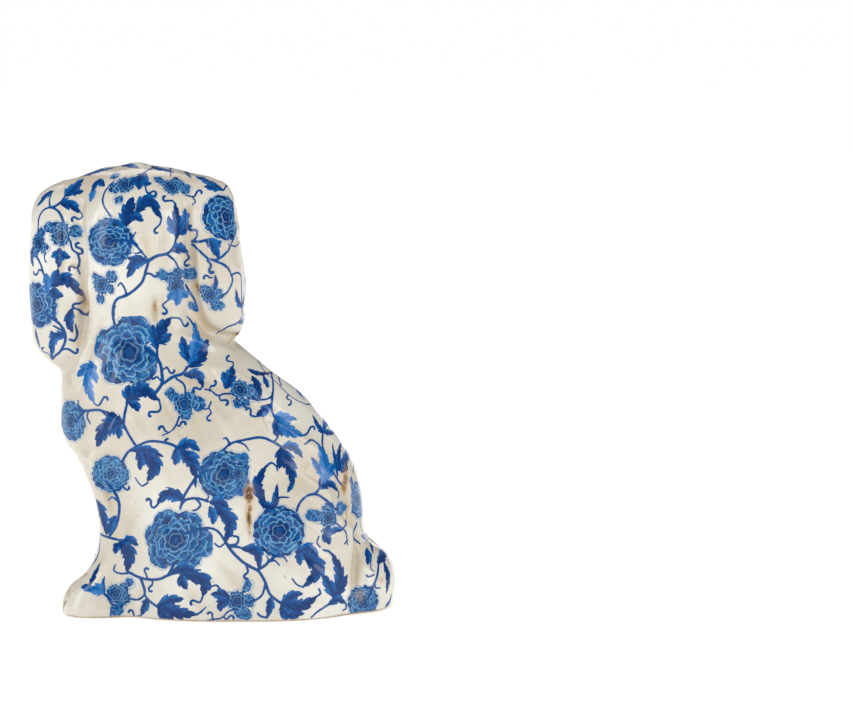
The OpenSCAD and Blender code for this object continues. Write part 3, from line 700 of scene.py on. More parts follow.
# What each field of the print holds where nothing is printed.
BLANK = {"ink": 9.0, "tone": 0.4, "vein": 0.0, "bloom": 9.0, "ruffle": 0.0, "across": 3.0, "upward": 3.0,
         "paint": 9.0, "rust": 0.0}


class Print:
    """Smooth fields over the figure's vertices that the glaze turns into colours."""

    def __init__(self, points, normals):
        self.p, self.n = points, normals
        for field, blank in BLANK.items():
            setattr(self, field, np.full(len(points), blank))

    def near(self, line, reach, normal=None):
        """Vertices in the box round a line, only those that face its way where a normal is given."""
        low, high = line.min(0) - reach, line.max(0) + reach
        hit = np.nonzero(((self.p > low) & (self.p < high)).all(1))[0]
        if normal is not None:
            hit = hit[self.n[hit] @ normal > 0.05]
        return hit

    def along(self, line, reach):
        """Vertices near a line on the surface: their index, distance, place along it and side."""
        normal = gradient(whole, line[len(line) // 2][None])[0]
        i = self.near(line, reach, normal)
        p, n = self.p[i], self.n[i]
        best = np.full(len(i), 1e3)
        place, side = np.zeros(len(i)), np.ones(len(i))
        spans = len(line) - 1
        for k in range(spans):
            ab = line[k + 1] - line[k]
            u = np.clip((p - line[k]) @ ab / (ab @ ab + 1e-9), 0, 1)
            off = p - line[k] - u[:, None] * ab
            d = np.linalg.norm(off, axis=1)
            closer = d < best
            best[closer] = d[closer]
            place[closer] = (k + u[closer]) / spans
            turn = np.einsum("ij,ij->i", off[closer], np.cross(n[closer], ab))
            side[closer] = np.sign(turn)
        return i, best, place, side

    def stem(self, line, start, end):
        """A line whose half width changes from start to end."""
        i, d, u, _ = self.along(line, 4)
        self.lay(i, d - (start + u * (end - start)), np.full(len(i), 0.22), np.zeros(len(i)))

    def blade(self, line, width, tone, seed):
        """A pointed blade with lobes that lean forward, a dark rib and a lighter edge."""
        i, d, u, side = self.along(line, width + 3)
        length = np.linalg.norm(np.diff(line, axis=0), axis=1).sum()
        lobes = max(round(length / 6.2), 2)
        lobe = (u * length - 0.7 * d) * lobes / length + 0.5 * (side > 0) + 0.37 * seed
        tooth = 1 - (1 - lobe % 1.0) ** 1.8
        body = np.sin(np.pi * np.clip(u, 0, 1) ** 0.75) ** 0.7
        half = width * body * (0.62 + 0.50 * tooth * np.clip(6 * u - 0.5, 0, 1)) + 0.25 * (1 - u)
        shade = tone - 0.26 + 0.42 * np.clip(d / width, 0, 1) + 0.13 * side * (d > 0.3)
        self.lay(i, d - half, np.clip(shade, 0, 1), lobe + 1)

    def lay(self, i, field, tone, vein):
        """Keeps the nearest motif at each vertex: field is below 0 inside it."""
        over = field < self.ink[i]
        j = i[over]
        self.ink[j], self.tone[j], self.vein[j] = field[over], tone[over], vein[over]

    def polar(self, centre, reach):
        """Vertices round a point of the surface: index and place in its tangent plane."""
        normal = gradient(whole, centre[None])[0]
        normal /= np.linalg.norm(normal)
        up = np.array([0, 0, 1.0]) - normal * normal[2]
        up /= np.linalg.norm(up) + 1e-9
        right = np.cross(up, normal)
        i = self.near(centre[None], reach, normal)
        off = self.p[i] - centre
        r = np.linalg.norm(off, axis=1)
        a = np.arctan2(off @ up, off @ right)
        return i, r, r * np.cos(a), r * np.sin(a)

    def flower(self, spots, sizes, ruffle, seed):
        """A bloom made of round patches; its petals are laid out round the first of them."""
        turn = 0.7 * seed
        squeeze = 0.8 + 0.07 * (seed % 5)
        span = sizes[0] if len(spots) == 1 else 1.7 * sizes[0]
        i, _, x, z = self.polar(spots[0], max(24.0, sizes[0] + 5))
        across = (x * math.cos(turn) + z * math.sin(turn)) / span
        upward = (z * math.cos(turn) - x * math.sin(turn)) / (span * squeeze)
        field = np.full(len(self.p), BLANK["bloom"])
        for spot, size in zip(spots, sizes):
            k, r, _, _ = self.polar(spot, size + 4)
            field[k] = np.minimum(field[k], r - size)
        over = field[i] < np.where(self.bloom[i] < 0, -0.01, self.bloom[i])
        over |= (field[i] < 0) & (field[i] < self.bloom[i] + 2)
        j = i[over]
        self.bloom[j], self.ruffle[j] = field[j], ruffle
        self.across[j], self.upward[j] = across[over], upward[over]

    def is_clear(self, spot):
        """Whether nothing is printed near a point yet."""
        i = self.near(spot[None], 3.0)
        return min(self.ink[i].min(initial=BLANK["ink"]), self.bloom[i].min(initial=BLANK["bloom"])) > 1.5

    def stain(self, centre, half_width, half_height, strength):
        """A soft upright patch of rust."""
        i = self.near(centre[None], 3 * half_height)
        off = self.p[i] - centre
        reach = np.hypot(off[:, 0] / half_width, off[:, 2] / half_height)
        reach = np.hypot(reach, off[:, 1] / (2 * half_height))
        self.rust[i] = np.maximum(self.rust[i], strength * np.exp(-reach ** 2))


def curled(points, start, end):
    """The curve of a stem; a short tendril that thickens to its end curls on the way it was turning."""
    path = smooth_path(points)
    length = np.linalg.norm(np.diff(path, axis=0), axis=1).sum()
    if end <= start + 0.15 or end > 1 or length > LONGEST_CURL:
        return path
    ahead, before = path[-1] - path[-3], path[-4] - path[-7]
    heading = math.atan2(ahead[1], ahead[0])
    bend = math.copysign(1, ahead[0] * before[1] - ahead[1] * before[0])
    curl, here = [], path[-1]
    for k in range(8):
        heading += bend * math.radians(20)
        here = here + (0.62 - 0.03 * k) * np.array([math.cos(heading), math.sin(heading)])
        curl.append(here)
    return np.concatenate([path, curl])


def print_side(sheet, facing, blades, stems, flowers, buds, keep):
    """Lays motifs on one face of the figure, where keep allows."""
    rows = [("blade", row[:2], smooth_path(row[2:])) for row in blades]
    rows += [("stem", row[:2], curled(row[2:], *row[:2])) for row in stems]
    lines = cast_curves([path for _, _, path in rows], facing)
    for seed, ((kind, sizes, _), line) in enumerate(zip(rows, lines)):
        if not keep(line[len(line) // 2]):
            continue
        if kind == "stem":
            sheet.stem(line, *sizes)
        else:
            sheet.blade(line, *sizes, seed)
    blooms = [([row[:3]], row[3]) for row in flowers]
    blooms += [([row[:3], *row[3:]], BUD_RUFFLE) for row in buds]
    for seed, (patches, ruffle) in enumerate(blooms):
        spots = cast([patch[:2] for patch in patches], facing)
        if keep(spots[0]):
            sheet.flower(spots, [patch[2] for patch in patches], ruffle, seed)


# ---------------------------------------------------------------- modelled detail

# Folds of the coat on the back: (height, half width, points), a groove where the height is negative.
FOLDS = [
    (-1.4, 3, (79, 264), (79, 240), (79, 215), (80, 195), (84, 176)),
    (-1.6, 3.6, (12, 262), (11, 232), (9, 206), (3, 187), (-8, 180), (-19, 177)),
    (-1.1, 2, (33, 208), (33, 199), (32, 188)), (-.6, 3, (39, 249), (37, 240), (36, 230)),
    (-.6, 3, (28, 251), (27, 241), (27, 229)), (.8, 4, (53, 212), (48, 195), (44, 180)),
    (.8, 4, (22, 184), (6, 178), (-12, 171)), (.9, 4, (78, 172), (84, 158), (88, 142)),
    (-.7, 3, (71, 186), (78, 166), (83, 150)), (.7, 3, (-29, 134), (-33, 127), (-37, 118)),
    (.7, 3, (-13, 134), (-16, 130), (-18, 126)), (.8, 3.5, (49, 134), (45, 126), (42, 116)),
    (.6, 3, (-9, 132), (-12, 127), (-15, 120)), (-1, 2.2, (-26, 88), (-26, 76), (-25, 62)),
    (-1.5, 3, (-90, 66), (-94, 46), (-93, 26), (-92, 6)), (.7, 3, (-86, 99), (-88, 84), (-89, 64)),
    (-.6, 2.4, (-82, 92), (-85, 76), (-86, 58)), (.9, 3, (100, 262), (102, 236), (100, 205)),
    (-.7, 2.6, (93, 262), (92, 238), (94, 206)), (.8, 3, (-8, 262), (-12, 236), (-10, 200)),
    (-.7, 2.6, (-1, 256), (-3, 232), (-2, 204)), (-.8, 3, (66, 96), (62, 74), (60, 50)),
    (-.6, 3, (20, 160), (-6, 150), (-30, 136)), (.6, 4, (10, 166), (-18, 156), (-44, 138)),
]

# The face and the front, seen from the front.
FRONT_FOLDS = [
    (-1.4, 3, (77, 262), (77, 236), (78, 206), (83, 172)),
    (-1.4, 3, (14, 262), (13, 232), (12, 206), (6, 184)),
    (-1.3, 1.3, (47, 214), (47, 206), (42, 202), (34, 203), (28, 209)),
    (-1.3, 1.3, (47, 206), (52, 202), (60, 203), (66, 209)),
    (-.9, 3.5, (47, 272), (47, 260), (47, 246)), (.8, 3, (32, 236), (30, 226), (30, 216)),
    (.8, 3, (62, 236), (64, 226), (64, 216)),
    (-1.2, 3, (-10, 98), (8, 82), (14, 58), (8, 32), (-4, 22)),
    (-1, 3, (58, 128), (54, 96), (53, 60), (52, 24)), (.9, 4, (40, 158), (38, 138), (42, 116)),
    (-.8, 3, (28, 162), (26, 140), (30, 118)), (-.8, 3, (62, 160), (66, 144), (64, 130)),
    (.8, 3, (98, 256), (101, 230), (98, 196)), (-.8, 2.6, (90, 258), (91, 232), (92, 200)),
    (.8, 3, (-6, 256), (-10, 230), (-6, 200)), (-.8, 2.6, (2, 252), (0, 228), (1, 200)),
    (-.8, 2, (-78, 70), (-84, 52), (-92, 36)), (-.7, 2, (-68, 66), (-76, 48), (-84, 30)),
]


def eye_line(side, turns, reach=(8.0, 5.6)):
    """Points round an eye, for angles in degrees from the outer corner."""
    return [(HEAD_X + side * (EYES_APART + reach[0] * math.cos(math.radians(t))),
             EYE_Z + reach[1] * math.sin(math.radians(t))) for t in turns]


def toe_lines():
    """Grooves between the toes of the two forepaws and the hind paw, as points on the surface."""
    spots = [(98, 84, y) for y in (-45, -35, -25, 14, 25, 36)] + [(47, 36, y) for y in (-49, -41, -34)]
    lines = [[(tip, y, 1.5), (tip - 1, y, 9), (back, y, 20)] for tip, back, y in spots]
    return [settle(whole, np.array(line, float), np.zeros((3, 3), bool), 8) for line in lines]


def locks():
    """Soft locks of hair scattered over the coat: (facing, height, half width, points)."""
    draw = random.Random(7)
    for facing in ("back", "front"):
        for _ in range(95):
            x, z = draw.uniform(-95, 105), draw.uniform(12, 265)
            lean = 0.55 * math.sin(x / 31.0) - (0.9 if z < 170 and x < 40 else 0.0)
            length, bend = draw.uniform(12, 26), draw.uniform(-2.5, 2.5)
            height, width = draw.choice((-.5, -.35, .4, .55)), draw.uniform(2.2, 3.6)
            on_face = facing == "front" and 22 < x < 74 and z > 190
            if not on_face:
                middle = (x + lean * length / 2 + bend, z - length / 2)
                tip = (x + lean * length, z - length)
                yield facing, 0.75 * DEPTH * height, width, [(x, z), middle, tip]


def relief(sheet):
    """How far the modelled detail lifts each vertex."""
    lift = np.zeros(len(sheet.p))
    rows = [(facing, DEPTH * row[0], row[1], row[2:])
            for facing, folds in (("back", FOLDS), ("front", FRONT_FOLDS)) for row in folds]
    for side in (-1, 1):
        rows.append(("front", 1.0, 1.4, eye_line(side, (-10, 35, 90, 145, 190), (9.4, 7.4))))
        rows.append(("front", .7, 1.2, eye_line(side, (190, 230, 270, 310, 350), (9.0, 6.6))))
    rows += locks()
    lines = []
    for facing in ("back", "front"):
        chosen = [row for row in rows if row[0] == facing]
        parts = cast_curves([smooth_path(row[3]) for row in chosen], facing)
        lines += [(row[1], row[2], part) for row, part in zip(chosen, parts)]
    lines += [(-1.4, 1.6, line) for line in toe_lines()]
    for height, width, line in lines:
        i, d, u, _ = sheet.along(line, 2.4 * width)
        ends = np.sqrt(np.clip(np.sin(np.pi * np.clip(u, 0.04, 0.96)), 0, 1))
        lift[i] += height * ends * np.exp(-(d / width) ** 2)
    wobble = [noise.noise(Vector(p) / 17.0) + 0.4 * noise.noise(Vector(p) / 7.0) for p in sheet.p]
    low_fade = np.clip((sheet.p[:, 2] - 1.0) / 8.0, 0, 1)
    return (lift + 0.35 * np.array(wobble)) * low_fade


def paint_face(sheet):
    """Black enamel: eyes, brows, nose, mouth, whisker dots and claws."""
    black = []
    for side in (-1, 1):
        black.append((.5, 1.0, eye_line(side, (-8, 35, 90, 145, 188), (8.0, 5.6))))
        black.append((.3, .5, eye_line(side, (188, 230, 270, 310, 352), (8.0, 5.6))))
        for k in range(6):
            x = HEAD_X + side * (EYES_APART - 8 + 3.4 * k)
            z = EYE_Z + 12.5 + 2.2 * math.sin(k / 5 * math.pi)
            black.append((.5, .25, [(x, z), (x + side * .8, z + 2.4), (x + side * 2.4, z + 4.4)]))
        for k in range(7):
            x, z = HEAD_X + side * (7 + 3 * (k % 3)), 213 - 3.2 * (k // 3) + 1.2 * (k % 2)
            black.append((.55, .5, [(x, z), (x + side * .3, z + .3)]))
    black.append((.5, .5, [(HEAD_X, 216), (HEAD_X, 206)]))
    for side in (-1, 1):
        lip = [(HEAD_X + side * out, z) for out, z in ((0, 206), (5, 202), (13, 203), (19, 209))]
        black.append((.6, .3, lip))
    parts = cast_curves([smooth_path(row[2]) for row in black], "front")
    strokes = [(row[0], row[1], part) for row, part in zip(black, parts)]
    strokes += [(.5, .9, line[:2]) for line in toe_lines()]
    for start, end, line in strokes:
        i, d, u, _ = sheet.along(line, 4)
        sheet.paint[i] = np.minimum(sheet.paint[i], d - (start + u * (end - start)))
    discs = [(HEAD_X + s * EYES_APART, EYE_Z, 3.7) for s in (-1, 1)] + [(HEAD_X, NOSE_Z, 7.0)]
    for x, z, radius in discs:
        i, r, _, _ = sheet.polar(cast([(x, z)], "front")[0], radius + 4)
        sheet.paint[i] = np.minimum(sheet.paint[i], r - radius)


# ---------------------------------------------------------------- separate pieces

def largest_part(quads, chosen):
    """Of the chosen faces, those in the biggest connected patch."""
    faces = np.nonzero(chosen)[0]
    label = np.arange(quads.max() + 1)
    q = quads[faces]
    while True:
        low = label[q].min(1)
        new = label.copy()
        for k in range(4):
            np.minimum.at(new, q[:, k], low)
        new = new[new]
        if (new == label).all():
            break
        label = new
    roots, counts = np.unique(label[q[:, 0]], return_counts=True)
    return faces[label[q[:, 0]] == roots[counts.argmax()]]


def shell_of(front, above):
    """The moulding that each place on the trunk or the head belongs to."""
    return np.where(above, np.where(front, "face_shell", "head_back_shell"),
                    np.where(front, "body_front_shell", "body_back_shell"))


def piece_of_faces(p, quads):
    """Names the piece that each coarse face belongs to."""
    centre = p[quads].mean(1)
    limbs = ["left_ear", "right_ear", "left_foreleg", "right_foreleg", "right_hind_paw", "tail"]
    d = {name: measured(FORMS[name], centre) for name in limbs}
    d["tail"] = np.minimum(d["tail"], measured(FORMS["tail_root"], centre))
    nearest = np.full(len(centre), FAR)
    for form in (FORMS["trunk"], FORMS["haunch"], FORMS["muzzle"], *EYES):
        nearest = np.minimum(nearest, measured(form, centre))
    front, above = centre[:, 1] < 0, centre[:, 2] > NECK
    name = shell_of(front, above).astype(object)
    for limb in limbs:
        closer = d[limb] < nearest
        name[closer] = limb
        nearest = np.minimum(nearest, d[limb])
    name[centre[:, 2] < BASE_TOP] = "base_plate"
    pit = (np.hypot(centre[:, 0], centre[:, 1]) < VENT_RADIUS + 1.5) & (centre[:, 2] < PIT_TOP + 1)
    name[pit & (centre[:, 2] > BASE_TOP)] = "vent"
    for limb in limbs:
        whole_limb = name == limb
        stray = np.setdiff1d(np.nonzero(whole_limb)[0], largest_part(quads, whole_limb))
        name[stray] = shell_of(front[stray], above[stray])
    return name


def inner_skin(p, normals, edges):
    """Points a wall's thickness below the surface, less where the clay is thin."""
    room = 2 * WALL - whole(p - 2 * WALL * normals)
    thick = np.clip(0.35 * room, 0.8, WALL)
    inner = p - normals * thick[:, None]
    for _ in range(6):
        inner += 0.5 * pull_together(inner, edges)
    return inner


def piece_mesh(name, faces, shape):
    """A closed mesh: fine glazed skin outside, plain skin inside, and a rim between them."""
    outer = shape["fine_quads"].reshape(-1, 4, 4)[faces].reshape(-1, 4)
    q = shape["quads"][faces]
    offset = len(shape["fine"])
    inner = q[:, ::-1] + offset
    sides = np.concatenate([q[:, [k, (k + 1) % 4]] for k in range(4)])
    middles = np.concatenate([shape["middle"][faces][:, k] for k in range(4)])
    known = {(a, b) for a, b in sides.tolist()}
    rim = [(b, m, a, a + offset, b + offset)
           for (a, b), m in zip(sides.tolist(), middles.tolist()) if (b, a) not in known]
    used = np.unique(np.concatenate([outer.ravel(), inner.ravel()]))
    index = np.zeros(offset + len(shape["inner"]), np.int64)
    index[used] = np.arange(len(used))
    points = np.concatenate([shape["fine"], shape["inner"]])[used] * MM
    polygons = index[outer].tolist() + index[inner].tolist() + [index[list(r)].tolist() for r in rim]
    mesh = bpy.data.meshes.new(name)
    mesh.from_pydata(points.tolist(), [], polygons)
    mesh.polygons.foreach_set("use_smooth", np.ones(len(polygons), bool))
    for key, (values, inside) in shape["fields"].items():
        both = np.concatenate([values, np.full(len(shape["inner"]), inside)])[used]
        mesh.attributes.new(key, "FLOAT", "POINT").data.foreach_set("value", both.astype(np.float32))
    normals = np.concatenate([shape["normals"], -shape["coarse_normals"]])[used]
    mesh.normals_split_custom_set_from_vertices(normals.tolist())
    return mesh


def place(mesh, name, node, slot, material):
    """Puts a finished mesh in the scene in place of its CAD node."""
    piece = bpy.data.objects.new(name, mesh)
    bpy.context.collection.objects.link(piece)
    mesh.materials.append(material)
    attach(piece, "root")
    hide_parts(node)


# ---------------------------------------------------------------- collar and padlock

def squared(value, power):
    """A sine or cosine bent so that a ring of them is a rounded square."""
    return math.copysign(abs(value) ** power, value)


def rings_to_mesh(bm, rings):
    """A closed skin through rings of points, with a cap at each end."""
    rows = [[bm.verts.new(Vector(p) * MM) for p in ring] for ring in rings]
    count = len(rows[0])
    for low, high in zip(rows[:-1], rows[1:]):
        for k in range(count):
            bm.faces.new((low[k], low[(k + 1) % count], high[(k + 1) % count], high[k]))
    bm.faces.new(rows[0][::-1])
    bm.faces.new(rows[-1])


def band_rings(line, half_height, relief_height, count=20):
    """Rings of a flat band that lies on the surface and thins out at its ends."""
    normal = gradient(whole, line)
    normal /= np.linalg.norm(normal, axis=1)[:, None]
    ahead = np.gradient(line, axis=0)
    ahead /= np.linalg.norm(ahead, axis=1)[:, None]
    up = np.cross(ahead, normal)
    rings = []
    for k in range(len(line)):
        fade = min(1.0, 0.15 + 1.7 * min(k, len(line) - 1 - k) / 10.0)
        ring = []
        for step in range(count):
            a = 2 * math.pi * step / count
            out = squared(math.cos(a), 0.6) * relief_height * fade
            across = squared(math.sin(a), 0.6) * half_height * (0.8 + 0.2 * fade)
            ring.append(line[k] + normal[k] * out + up[k] * across)
        rings.append(ring)
    return rings


def finish_mesh(bm, name):
    bmesh.ops.recalc_face_normals(bm, faces=bm.faces)
    mesh = bpy.data.meshes.new(name)
    bm.to_mesh(mesh)
    bm.free()
    mesh.polygons.foreach_set("use_smooth", np.ones(len(mesh.polygons), bool))
    return mesh


def collar_mesh():
    """The sprigged strap on the front of the neck, with a corded edge above and below."""
    low, high = (np.array(v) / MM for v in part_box("collar"))
    x = np.linspace(low[0] + 3, high[0] - 3, 110)
    share = (x - x[0]) / (x[-1] - x[0])
    z = low[2] + 5.5 + (high[2] - low[2] - 11.5) * share - 2.4 * np.sin(np.pi * share)
    bm = bmesh.new()
    for rise, half_height, height in ((0, 4.4, 1.9), (4.3, 1.0, 2.5), (-4.3, 1.0, 2.5)):
        line = cast(np.column_stack([x, z + rise]), "front")
        rings_to_mesh(bm, band_rings(line, half_height, height))
    return finish_mesh(bm, "collar_enamel")


def block_rings(centre, radii, power, count=32, levels=14):
    """Rings of a cushion-shaped block whose flat face looks to the front."""
    rings = []
    for k in range(levels + 1):
        t = math.pi * (k + 0.35) / (levels + 0.7)
        depth = -squared(math.cos(t), 0.7) * radii[1]
        size = math.sin(t) ** 0.5
        ring = []
        for step in range(count):
            a = 2 * math.pi * step / count
            ring.append((centre[0] + squared(math.cos(a), power) * radii[0] * size, centre[1] + depth,
                         centre[2] + squared(math.sin(a), power) * radii[2] * size))
        rings.append(ring)
    return rings


def tube_rings(line, radius, count=14):
    """Rings of a round rod along a line in a plane that faces the front."""
    line = np.array(line, float)
    ahead = np.gradient(line, axis=0)
    ahead /= np.linalg.norm(ahead, axis=1)[:, None]
    front = np.array([0, -1.0, 0])
    rings = []
    for p, t in zip(line, ahead):
        side = np.cross(t, front)
        angles = [2 * math.pi * step / count for step in range(count)]
        rings.append([p + radius * (math.cos(a) * front + math.sin(a) * side) for a in angles])
    return rings


def padlock_mesh():
    """A small sprigged padlock: body, rim, shackle and keyhole plate."""
    low, high = (np.array(v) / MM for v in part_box("padlock"))
    middle = (low + high) / 2
    half = (high[0] - low[0]) / 2
    body_z, face_y = low[2] + half * 0.95, low[1] + 3.6
    blocks = [                          # (forward, up, radii, squareness): body, plate and keyhole
        (0, 0, (half, 3.2, half * 0.92), 0.55), (2.2, 0, (half * 0.66, 1.1, half * 0.6), 0.6),
        (3.0, 0.8, (1.5, 0.5, 1.5), 1.0), (3.0, -1.2, (0.8, 0.5, 2.0), 0.8)]
    bm = bmesh.new()
    for forward, up, radii, power in blocks:
        rings_to_mesh(bm, block_rings((middle[0], face_y - forward, body_z + up), radii, power))
    arch = [(middle[0] + 4.4 * math.cos(t), face_y + 0.6, body_z + half * 0.7 + 6.6 * max(math.sin(t), -0.2))
            for t in np.linspace(-0.2, math.pi + 0.2, 29)]
    rings_to_mesh(bm, tube_rings(arch, 1.6))
    return finish_mesh(bm, "padlock_enamel")


# ---------------------------------------------------------------- materials

# Rings of petals in a flower, from the outside in: (radius, petals, turn).
PETAL_RINGS = ((1.36, 13, .6), (1.12, 11, .9), (.80, 9, .2), (.62, 8, 1.1), (.44, 7, .5), (.25, 5, .9))


class Nodes:
    """Short forms for building a material's node tree."""

    def __init__(self, name):
        self.material = bpy.data.materials.new(name)
        self.material.use_nodes = True
        self.tree = self.material.node_tree
        self.shader = self.tree.nodes["Principled BSDF"]

    def new(self, kind, **settings):
        node = self.tree.nodes.new(kind)
        for key, value in settings.items():
            setattr(node, key, value)
        return node

    def feed(self, socket, value):
        if hasattr(value, "links"):
            self.tree.links.new(value, socket)
        else:
            socket.default_value = value

    def field(self, name):
        return self.new("ShaderNodeAttribute", attribute_name=name).outputs["Fac"]

    def spot(self):
        return self.new("ShaderNodeTexCoord").outputs["Object"]

    def noise(self, scale, detail=3.0, rough=0.5, output="Fac"):
        node = self.new("ShaderNodeTexNoise")
        self.feed(node.inputs["Vector"], self.spot())
        node.inputs["Scale"].default_value = scale
        node.inputs["Detail"].default_value = detail
        node.inputs["Roughness"].default_value = rough
        return node.outputs[output]

    def cell_edges(self, scale, vector=None):
        """Distance to the nearest edge in a net of cells."""
        node = self.new("ShaderNodeTexVoronoi", feature="DISTANCE_TO_EDGE")
        self.feed(node.inputs["Vector"], self.spot() if vector is None else vector)
        node.inputs["Scale"].default_value = scale
        return node.outputs["Distance"]

    def math(self, operation, a, b=0.0):
        node = self.new("ShaderNodeMath", operation=operation)
        self.feed(node.inputs[0], a)
        self.feed(node.inputs[1], b)
        return node.outputs[0]

    def plus(self, a, b):
        return self.math("ADD", a, b)

    def minus(self, a, b):
        return self.math("SUBTRACT", a, b)

    def times(self, a, b):
        return self.math("MULTIPLY", a, b)

    def larger(self, a, b):
        return self.math("MAXIMUM", a, b)

    def ramp(self, value, low, high, start=0.0, end=1.0):
        """Smooth change from start to end as the value goes from low to high."""
        node = self.new("ShaderNodeMapRange", interpolation_type="SMOOTHSTEP")
        inputs = {"Value": value, "From Min": low, "From Max": high, "To Min": start, "To Max": end}
        for key, item in inputs.items():
            self.feed(node.inputs[key], item)
        return node.outputs["Result"]

    def mix(self, share, a, b):
        node = self.new("ShaderNodeMix", data_type="RGBA")
        self.feed(node.inputs[0], share)
        self.feed(node.inputs[6], a)
        self.feed(node.inputs[7], b)
        return node.outputs[2]

    def colours(self, value, *stops):
        """A colour for the value, blended between stops of (position, colour)."""
        node = self.new("ShaderNodeValToRGB")
        self.feed(node.inputs["Fac"], value)
        bar = node.color_ramp.elements
        while len(bar) < len(stops):
            bar.new(0.5)
        for element, (at, colour) in zip(bar, stops):
            element.position, element.color = at, (*colour, 1)
        return node.outputs["Color"]

    def bump(self, height, distance, strength):
        node = self.new("ShaderNodeBump")
        node.inputs["Strength"].default_value = strength
        node.inputs["Distance"].default_value = distance
        self.feed(node.inputs["Height"], height)
        self.feed(self.shader.inputs["Normal"], node.outputs["Normal"])


def clay(n):
    """Bare fired earthenware: warm buff with darker specks."""
    buff = n.colours(n.noise(60, 4), (.3, (.34, .25, .15)), (.7, (.48, .38, .26)))
    return n.mix(n.ramp(n.noise(700, 2), .62, .72), buff, (.22, .13, .07, 1))


def ivory_ground(n, printed):
    """Ivory glaze, warmer in the hollows from pooled glaze and from painted shade, with faint crazing,
    specks and a blue haze by the print.
    """
    ivory = n.colours(n.noise(11, 4), (.34, (.47, .425, .345)), (.5, (.565, .54, .47)),
                      (.66, (.66, .65, .60)))
    # Painted shade, partly real: creases and fold grooves turn a darker beige, both as pooled glaze and as
    # shade painted into the colour.
    warm = n.times(n.field("hollow"), n.ramp(n.noise(30, 3), .35, .65, .35, 1))
    ivory = n.mix(n.times(warm, .7), ivory, (.42, .32, .19, 1))
    crazing = n.times(n.ramp(n.cell_edges(120), 0, .03, 1, 0), n.ramp(n.noise(14), .45, .65, 0, .16))
    ivory = n.mix(crazing, ivory, (.42, .31, .20, 1))
    speck = n.times(n.ramp(n.noise(420, 1), .745, .77), .4)
    ivory = n.mix(speck, ivory, (.20, .11, .05, 1))
    return n.mix(n.ramp(printed, -.2, 1.4, .16, 0), ivory, (.22, .36, .60, 1))


def leaf_paint(n, ragged):
    """Cobalt leaves, dark at the rib, lighter at the edge, with thin veins: their cover and colour."""
    pooled = n.times(n.minus(n.noise(170, 4), .5), .45)
    vein = n.field("vein")
    across_vein = n.math("ABSOLUTE", n.minus(n.math("FRACT", vein), .72))
    veins = n.times(n.ramp(across_vein, .03, .09, .24, 0), n.ramp(vein, .5, .6))
    wash = n.plus(n.plus(n.field("tone"), pooled), veins)
    leaf = n.colours(wash, (.0, (.001, .024, .115)), (.26, (.001, .055, .21)), (.55, (.003, .105, .33)),
                     (1, (.06, .19, .44)))
    return n.ramp(n.plus(n.field("ink"), ragged), -.14, .2, 1, 0), leaf


def scallops(n, angle, lobes, turn):
    """A wave round a flower: 0 between two petals, 1 in the middle of each."""
    return n.math("ABSOLUTE", n.math("SINE", n.plus(n.times(angle, lobes / 2), turn)))


def petal_rings(n, shade, reach, angle):
    """Layers of petals over a shade: the new shade, and the lines along and between the petals."""
    lines = 0.0
    for radius, lobes, turn in PETAL_RINGS:
        humps = scallops(n, angle, lobes, turn)
        frills = scallops(n, angle, 3 * lobes, turn)
        wave = n.plus(n.plus(n.times(humps, .2), .86), n.times(frills, .05))
        edge = n.minus(reach, n.times(wave, radius))
        inside = n.ramp(edge, -.012, .012, 1, 0)
        petal = n.ramp(edge, -.36 * radius, -.02, .05, .60)
        shade = n.plus(n.times(shade, n.minus(1, inside)), n.times(petal, inside))
        rim = n.ramp(n.math("ABSOLUTE", edge), .014, .034, 1, 0)
        parting = n.times(n.ramp(humps, .05, .16, .75, 0), n.ramp(edge, -.22 * radius, -.14 * radius))
        lines = n.larger(n.larger(lines, rim), n.times(parting, inside))
    return shade, lines


def ruffled(n):
    """Fine wavy lines where a flower is ruffled."""
    bent = n.new("ShaderNodeVectorMath", operation="MULTIPLY_ADD")
    n.feed(bent.inputs[0], n.noise(90, 2, output="Color"))
    bent.inputs[1].default_value = (.006, .006, .006)
    n.feed(bent.inputs[2], n.spot())
    return n.times(n.ramp(n.cell_edges(430, bent.outputs[0]), .03, .12, .8, 0), n.field("ruffle"))


def flower_paint(n, ragged):
    """Layers of scalloped petals round a dark heart, each edged with a pale line, and a halo outside.

    Gives the signed outline, the cover of the halo, the cover of the flower and its colour.
    """
    shiver = n.minus(n.noise(120, 3), .5)
    across, upward = n.field("across"), n.field("upward")
    distance = n.math("SQRT", n.plus(n.times(across, across), n.times(upward, upward)))
    reach = n.plus(distance, n.times(shiver, .2))
    angle = n.plus(n.math("ARCTAN2", upward, across), n.times(shiver, 1.5))

    outline = n.minus(n.field("bloom"), n.times(scallops(n, angle, 13, .4), 1.1))
    outline = n.plus(outline, n.plus(ragged, .75))
    shade, lines = petal_rings(n, n.ramp(outline, -4.5, -.4, .15, .62), reach, angle)
    heart = n.ramp(reach, .10, .17, 1, 0)
    shade = n.plus(n.times(shade, n.ramp(reach, .16, .5, .35, 1)), n.times(heart, .3))

    lines = n.times(n.larger(lines, ruffled(n)), n.ramp(outline, -.9, -.4, 1, 0))
    lines = n.times(lines, n.ramp(n.noise(130, 2), .32, .5, .35, 1))
    lines = n.times(lines, n.ramp(reach, .12, .45, .3, 1))

    wash = n.plus(shade, n.times(n.minus(n.noise(170, 4), .5), .5))
    flower = n.colours(wash, (.0, (.002, .016, .08)), (.3, (.003, .045, .18)), (.6, (.006, .095, .28)),
                       (1, (.03, .17, .38)))
    flower = n.mix(n.times(lines, .6), flower, (.20, .44, .58, 1))
    halo = n.times(n.ramp(outline, .35, .7), n.ramp(outline, 1.0, 1.45, 1, 0))
    return outline, n.times(halo, .6), n.ramp(outline, -.12, .22, 1, 0), flower


